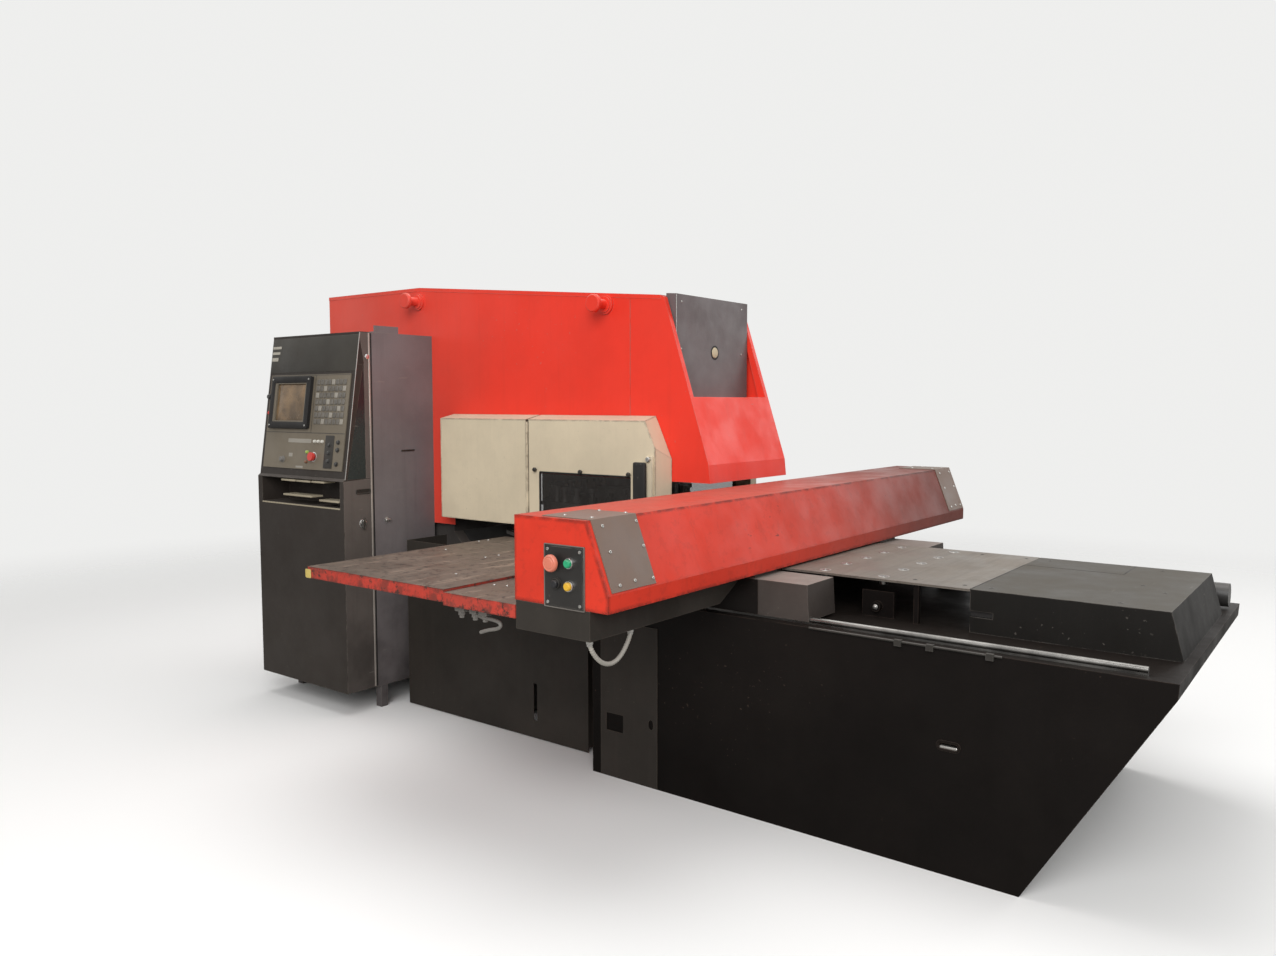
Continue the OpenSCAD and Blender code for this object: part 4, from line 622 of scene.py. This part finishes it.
strip = [(0.0, -0.003), (-0.003, 0.0005), (-0.002, 0.002), (0.002, 0.002), (0.003, 0.0), (0.003, -0.003)]
pin = [(0.0045, -0.001), (0.0045, 0.006), (0.0095, 0.008), (0.0105, 0.014), (0.008, 0.018), (1e-6, 0.019)]
grip = [(0.004, -0.0130), (0.001, -0.0115), (0.0, -0.009), (0.0, 0.001), (0.003, 0.0035), (0.010, 0.0042)]
latch = [(0.0, -0.0005), (0.0, 0.006), (0.003, 0.009)]
lock = [(0.011, -0.0005), (0.011, 0.009), (0.0085, 0.012), (0.0035, 0.012), (0.003, 0.007), (1e-6, 0.007)]
door_skin = 0.412
for side, s in (("left", -1), ("right", 1)):
    out, door = (s, 0, 0), side + "_door"
    set_in(side + "_window_strip", [pressed(0.523, 0.205, 0.004, strip, (s * door_skin, 0.2035, 1.0875),
                                            (0, s, 0), (0, 0, 1), 3, ring=True)], rubber_and_shade, door)
    set_in(side + "_window_pins",
           [turned(pin, (s * door_skin, y, 1.2), out, 14) for y in (0.487, 0.213, -0.056)], dark_steel, door)
    # A black strip along each door's hinge side paints the shade in the gap there.
    set_in(side + "_hinge_gap_shade", [pressed(0.0032, 0.484, 0.001, seam, (s * door_skin, 0.5345, 1.1815),
                                           (0, s, 0), (0, 0, 1), 2)], rubber_and_shade, door)
    set_in(side + "_door_grip", [pressed(0.062, 0.162, 0.008, grip, (s * 0.446, -0.130, 1.175),
                                         (0, s, 0), (0, 0, 1))], rubber_and_shade, door)
    set_in(side + "_latch_plate", [pressed(0.036, 0.175, 0.004, latch, (s * door_skin, -0.163, 1.1935),
                                           (0, s, 0), (0, 0, 1))], cream_paint, door)
    set_in(side + "_door_lock", [turned(lock, (s * 0.421, -0.162, 1.268), out, 20)], zinc_and_highlight, door)

# The C frame, the beam's frame and the main motor are in a dark primer under dust.
# The small servo motors and the belts are plain black.
frame_paint = finish("frame_paint", (0.045, 0.040, 0.037), 0.55, dust=0.4, dusty=(0.18, 0.15, 0.13))
wear_on(frame_paint, "c_frame", "beam_frame", "main_motor")
black_plastic = finish("black_plastic", (0.02, 0.02, 0.02), 0.4, dust=0.2, worn=0.0, streak=0.0, grime_and_shade=0.0)
wear_on(black_plastic, "axis_servos", "x_servo", "drive_belts")

# The control cabinet is sheet in a dark grey brown on four legs; its side darkens towards the floor as
# painted shade.
# A pale strip on the console door paints the highlight along its parting line, and a black strip beside it
# paints the shade in the gap.
cabinet_paint = finish("cabinet_paint", (0.170, 0.152, 0.154), 0.5, vary=0.12, film=0.10, dust=0.4,
                       dusty=(0.22, 0.19, 0.17), worn=0.5, bare=(0.28, 0.25, 0.21), streak=0.14, grime_and_shade=0.85,
                       low=1.3, grime_and_shade_tone=(0.028, 0.024, 0.022), gloss=0.3)
wear_on(cabinet_paint, "cabinet_body")
cabinet_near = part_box("cabinet_body")[0][1]
side_y = cabinet_near - 0.0005
low_strip = [(0.0, -0.0005), (0.0, 0.0015), (0.0008, 0.0022)]
set_in("parting_highlight",
       [pressed(0.008, 1.722, 0.001, low_strip, (-0.7105, cabinet_near, 0.976), (1, 0, 0), (0, 0, 1), 2)],
       finish("parting_highlight_strip", (0.42, 0.38, 0.34), 0.45, metal=0.3, dust=0.2, worn=0.0, grime_and_shade=0.1), "console")
set_in("parting_gap_shade", [pressed(0.008, 1.722, 0.001, [(0.0, -0.0005), (0.0, 0.0003), (0.0008, 0.0004)],
                               (-0.6985, cabinet_near, 0.976), (1, 0, 0), (0, 0, 1), 2)], rubber_and_shade, "frame")

# The side of the cabinet that looks forward has a turned latch with a wing, and a pressed slot.
# Both are plated or blackened steel and are set into the sheet.
wing = [(0.0, 0.0), (0.0, 0.007), (0.002, 0.009)]
boss = [(0.013, -0.0005), (0.013, 0.0012), (0.010, 0.0022), (0.006, 0.0024), (0.006, 0.009)]
latch_x, latch_z = -0.6235, 0.931
set_in("cabinet_latch", [turned(boss, (latch_x, cabinet_near, latch_z), (0, -1, 0), 20),
                         pressed(0.030, 0.009, 0.004, wing, (latch_x, cabinet_near - 0.008, latch_z),
                                 (1, 0, 0), (0, 0, 1), 4)], zinc_and_highlight, "frame")
slot = [(0.0, -0.0005), (0.0, 0.0014), (0.0012, 0.002), (0.002, 0.0006), (0.003, 0.0004)]
set_in("cabinet_slot", [pressed(0.086, 0.009, 0.004, slot, (-0.485, cabinet_near, 1.266),
                                (1, 0, 0), (0, 0, 1), 4)], dark_steel, "frame")

# The console door is one folded box: a sloping face, a shelf cut through it, and a hood above.
# Its near side has a smoked triangle, a lock, a slot pull and a turned latch ring.
console_paint = finish("console_paint", (0.030, 0.0235, 0.0195), 0.5, vary=0.10, film=0.10, dust=0.4,
                       dusty=(0.16, 0.14, 0.125), worn=0.55, bare=(0.22, 0.19, 0.16), streak=0.12, grime_and_shade=0.7,
                       grime_and_shade_tone=(0.022, 0.017, 0.013), gloss=0.25)
wear_on(console_paint, "console_door")
# The near side's sheets darken towards the floor as painted shade, like the cabinet's side.
side_skin = finish("console_side_skin", (0.110, 0.094, 0.084), 0.5, vary=0.12, film=0.15, dust=0.3,
                   dusty=(0.22, 0.19, 0.17), worn=0.4, streak=0.15, grime_and_shade=0.85, low=1.2,
                   grime_and_shade_tone=(0.035, 0.030, 0.027), gloss=0.3)
skin_low = np.array([(-0.8705, side_y, 0.114), (-0.7055, side_y, 0.114), (-0.7055, side_y, 1.139),
                     (-0.8700, side_y, 1.132)])
skin_high = np.array([(-0.7410, side_y, 1.141), (-0.7055, side_y, 1.141), (-0.7055, side_y, 1.838),
                      (-0.7590, side_y, 1.838), (-0.7620, side_y, 1.820), (-0.7410, side_y, 1.696)])
sunk = np.array([0.0, 0.0010, 0.0])
set_in("console_side_sheets", [skinned(np.stack([skin_low + sunk, skin_low])),
                               skinned(np.stack([skin_high + sunk, skin_high]))], side_skin, "console")
pane_y = side_y + 0.003
triangle = np.array([(-0.7425, pane_y, 1.1405), (-0.8470, pane_y, 1.1405), (-0.7425, pane_y, 1.6900)])
smoked = finish("smoked_sheet", (0.010, 0.018, 0.020), 0.2, vary=0.15, film=0.12, dust=0.1,
                dusty=(0.07, 0.08, 0.08), worn=0.0, streak=0.1, grime_and_shade=0.0)
set_in("smoked_triangle", [skinned(np.stack([triangle, triangle - (0, 0.0012, 0)]))], smoked, "console")
# A pale rod along the near side's slanting front edge paints the highlight on that edge.
highlight_path = np.array([(-0.8610, cabinet_near, 1.140), (-0.8560, cabinet_near, 1.170),
                      (-0.8080, cabinet_near, 1.504), (-0.7640, cabinet_near, 1.812),
                      (-0.7600, cabinet_near, 1.838)])
set_in("edge_highlight", [along(highlight_path, 0.0022, 8)], zinc_and_highlight, "console")
set_in("console_lock", [turned([(0.012, -0.0005), (0.012, 0.002), (0.009, 0.004), (0.0035, 0.004),
                                (0.003, 0.002), (1e-6, 0.002)], (-0.7235, side_y, 1.723), (0, -1, 0), 20)],
       chrome, "console")
pull = [(0.0, -0.0005), (0.0, 0.0022), (0.002, 0.003), (0.004, 0.0022), (0.005, 0.0004), (0.008, 0.0003)]
set_in("slot_pull", [pressed(0.086, 0.024, 0.008, pull, (-0.7590, side_y, 1.079), (1, 0, 0), (0, 0, 1))],
       dark_steel, "console")
set_in("latch_ring", [turned([(0.0145, -0.0005), (0.021, -0.0005), (0.021, 0.0015), (0.019, 0.0028),
                              (0.0145, 0.0028)], (-0.765, side_y, 0.925), (0, -1, 0), 28, ring=True)],
       chrome, "console")

# The operator panel lies on the sloping face: an olive plate with a hooded screen, keys, lamps and a stop
# button. All its fittings stand square to the slope and screw through the plate.
slope_foot_x, slope_foot_z, slope_lean, slope_rise = -0.859, 1.143, 0.099, 0.689
slope_len = math.hypot(slope_lean, slope_rise)
slope_side, slope_up = (0, -1, 0), (slope_lean / slope_len, 0.0, slope_rise / slope_len)
off_slope = (-slope_rise / slope_len, 0.0, slope_lean / slope_len)


def on_slope(y, z, lift=0.005):
    """The point of the sloping face at y and z, lifted square to it: x grows in proportion with z."""
    x = slope_foot_x + (z - slope_foot_z) * slope_lean / slope_rise
    return np.array([x, y, z]) + lift * np.array(off_slope)


panel_paint = finish("olive_panel", (0.160, 0.131, 0.093), 0.5, vary=0.10, film=0.12, dust=0.25,
                     dusty=(0.16, 0.15, 0.13), worn=0.4, bare=(0.2, 0.18, 0.15), streak=0.06, grime_and_shade=0.0)
wear_on(panel_paint, "console_panel", "control_gear")


def slab(y0, y1, z0, z1, rows, r=0.002, lift=0.005, n=3, ring=False):
    """A pressed shape over the field y0 to y1 and z0 to z1 of the operator panel."""
    return pressed(y1 - y0, (z1 - z0) / slope_up[2], r, rows, on_slope((y0 + y1) / 2, (z0 + z1) / 2, lift),
                   slope_side, slope_up, n, ring)


bezel = [(-0.001, -0.001), (-0.001, 0.0175), (0.003, 0.020), (0.028, 0.020), (0.034, 0.015), (0.038, 0.006)]
set_in("screen_hood", [slab(1.619, 1.952, 1.375, 1.632, bezel, 0.006)], rubber_and_shade, "console")
glass = finish("tube_glass", (0.17, 0.105, 0.05), 0.22, vary=0.45, patch=9.0, film=0.15, dust=0.1,
               dusty=(0.14, 0.12, 0.10), worn=0.0, streak=0.0, grime_and_shade=0.0, scratch=0.0, orange=0.0)
# The tube bulges by a parabola, 7 mm high over the 92 mm from its edge to its middle.
belly = [(0.0, 0.004)]
belly += [(i, 0.0065 + 0.007 * (1 - (1 - i / 0.092) ** 2)) for i in np.linspace(0.0, 0.091, 12)]
set_in("screen_glass", [slab(1.657, 1.901, 1.413, 1.595, belly, 0.012, 0.005, 6)], glass, "console")
set_in("hood_screws", [screw(on_slope(y, z, 0.025), off_slope, 0.005, 0.0025)
                       for y in (1.633, 1.938) for z in (1.389, 1.617)], zinc_and_highlight, "console")
key = [(0.0, -0.0005), (0.0, 0.0025), (0.0012, 0.0038), (0.004, 0.0042)]
key_grey = finish("key_grey", (0.125, 0.112, 0.095), 0.45, vary=0.25, patch=30.0, dust=0.2,
                  dusty=(0.16, 0.15, 0.13), worn=0.0, streak=0.0, grime_and_shade=0.0, scratch=0.0)
key_pale = finish("key_pale", (0.30, 0.275, 0.235), 0.5, vary=0.1, dust=0.1, worn=0.0, streak=0.0, grime_and_shade=0.0,
                  scratch=0.0)
key_y, key_z, key_wide, key_high, key_step_y, key_step_z = 1.352, 1.399, 0.023, 0.025, 0.030, 0.032


def key_caps(pale):
    """The pale or the grey keys of a field of 8 by 7, where every fifth key along a slant is pale."""
    corners = [(key_y + i * key_step_y, key_z + j * key_step_z)
               for i in range(8) for j in range(7) if ((i + 2 * j) % 5 == 0) == pale]
    return [slab(y, y + key_wide, z, z + key_high, key) for y, z in corners]


set_in("operator_keys", key_caps(False), key_grey, "console")
set_in("pale_keys", key_caps(True), key_pale, "console")
line = [(0.0, -0.0004), (0.0, 0.0005), (0.0004, 0.0008)]
set_in("panel_seams", [slab(1.328, 1.984, 1.3545, 1.3575, line, 0.001),
                       slab(1.328, 1.984, 1.6375, 1.6395, line, 0.001),
                       slab(1.599, 1.602, 1.358, 1.638, line, 0.001)], dark_steel, "console")
set_in("label_plates", [slab(1.590, 1.783, 1.306, 1.326, line, 0.002),
                        slab(1.736, 1.768, 1.236, 1.254, line, 0.002),
                        slab(1.640, 1.700, 1.183, 1.193, line, 0.002),
                        slab(1.420, 1.462, 1.320, 1.330, line, 0.002)], key_pale, "console")
set_in("operator_strip",
       [slab(1.405, 1.474, 1.188, 1.346, [(0.0, -0.0004), (0.0, 0.0016), (0.001, 0.002)], 0.004)], dark_steel,
       "console")
bead = [(0.0085, -0.0005), (0.0085, 0.004), (0.0070, 0.0095), (0.0035, 0.012), (1e-6, 0.0125)]


def studs(name, places, material, profile=bead, lift=0.005):
    """Lamps and buttons: one turned profile set square on the sloping face at each place (y, z)."""
    set_in(name, [turned(profile, on_slope(y, z, lift), off_slope, 20) for y, z in places], material,
           "console")


lamp_white = finish("lamp_white", (0.62, 0.60, 0.54), 0.25, vary=0.05, dust=0.1, worn=0.0, streak=0.0,
                    grime_and_shade=0.0, scratch=0.0, orange=0.0)
studs("white_lamps", [(1.557, 1.315), (1.527, 1.315), (1.496, 1.315)], lamp_white)
studs("run_lamp", [(1.611, 1.262)],
      finish("lamp_green", (0.35, 0.48, 0.10), 0.25, vary=0.05, worn=0.0, grime_and_shade=0.0))
studs("brown_button", [(1.612, 1.215)],
      finish("button_brown", (0.16, 0.07, 0.035), 0.35, worn=0.0, grime_and_shade=0.0))
push = [(0.012, -0.0005), (0.012, 0.0025), (0.0085, 0.0035), (0.0085, 0.0085), (0.0070, 0.0100),
        (1e-6, 0.0104)]
studs("strip_buttons", [(1.371, 1.314), (1.371, 1.278), (1.371, 1.211), (1.439, 1.300), (1.439, 1.262),
                        (1.439, 1.222)], black_plastic, push)
knob = [(0.0165, -0.0005), (0.0165, 0.003), (0.0125, 0.004), (0.0120, 0.016), (0.0105, 0.0185), (1e-6, 0.019)]
studs("override_knob", [(1.813, 1.221)], lever_grey, knob)
set_in("stop_collar", [turned([(0.0150, -0.0005), (0.0240, -0.0005), (0.0240, 0.0030), (0.0220, 0.0042),
                               (0.0150, 0.0042)], on_slope(1.556, 1.240), off_slope, 28, ring=True)],
       chrome, "console")
stop_red = finish("stop_red", (0.60, 0.035, 0.025), 0.3, vary=0.06, dust=0.12, worn=0.0, streak=0.0,
                  grime_and_shade=0.0, scratch=0.0, orange=0.0)
wear_on(stop_red, "console_stop")
studs("red_button", [(1.972, 1.452)], stop_red, push)
studs("mode_knob", [(1.975, 1.533)], black_plastic, knob)

# The hood above the panel is one separate bent sheet, greyer than the rest, with three pale slots.
# It laps over the console's face and is fixed from inside.
hood_skin = finish("hood_skin", (0.034, 0.030, 0.024), 0.5, vary=0.12, film=0.08, dust=0.3,
                   dusty=(0.16, 0.15, 0.13), worn=0.4, bare=(0.2, 0.18, 0.15), streak=0.12, grime_and_shade=0.0,
                   gloss=0.35)
set_in("hood_sheet",
       [slab(1.298, 2.010, 1.656, 1.829, [(0.0, -0.0005), (0.0, 0.0012), (0.001, 0.0018)], 0.002, 0.0)],
       hood_skin, "console")
set_in("hood_slots", [slab(y, 2.004, z, z + h, line, 0.002, 0.0018)
                      for y, z, h in ((1.930, 1.778, 0.013), (1.938, 1.750, 0.013), (1.950, 1.716, 0.018))],
       finish("slot_cream", (0.42, 0.39, 0.33), 0.5, worn=0.0, grime_and_shade=0.0), "console")

# The shelf under the panel holds a few cards behind a pale lip.
# The lip is a pale strip on the edge of the opening, worn bare paint with a painted highlight along the edge,
# and the cards lie flat on two levels.
paper_and_highlight = finish("card_paper_and_highlight", (0.36, 0.31, 0.22), 0.6, vary=0.10, dust=0.15, worn=0.0, streak=0.05, grime_and_shade=0.0,
               scratch=0.0)
lip_x, card_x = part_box("console_door")[0][0], -0.806
set_in("shelf_lip_highlight",
       [pressed(0.652, 0.007, 0.002, low_strip, (lip_x, 1.650, 1.0005), (0, -1, 0), (0, 0, 1), 2)], paper_and_highlight,
       "console")
set_in("shelf_cards", [pressed(y1 - y0, 0.009, 0.001, [(0.0, 0.0), (0.0, 0.064), (0.0005, 0.0643)],
                               (card_x, (y0 + y1) / 2, z), (0, -1, 0), (0, 0, 1), 2)
                       for y0, y1, z in ((1.687, 1.808, 1.120), (1.568, 1.677, 1.120), (1.450, 1.550, 1.121),
                                         (1.553, 1.793, 1.047), (1.336, 1.492, 1.033))], paper_and_highlight, "console")
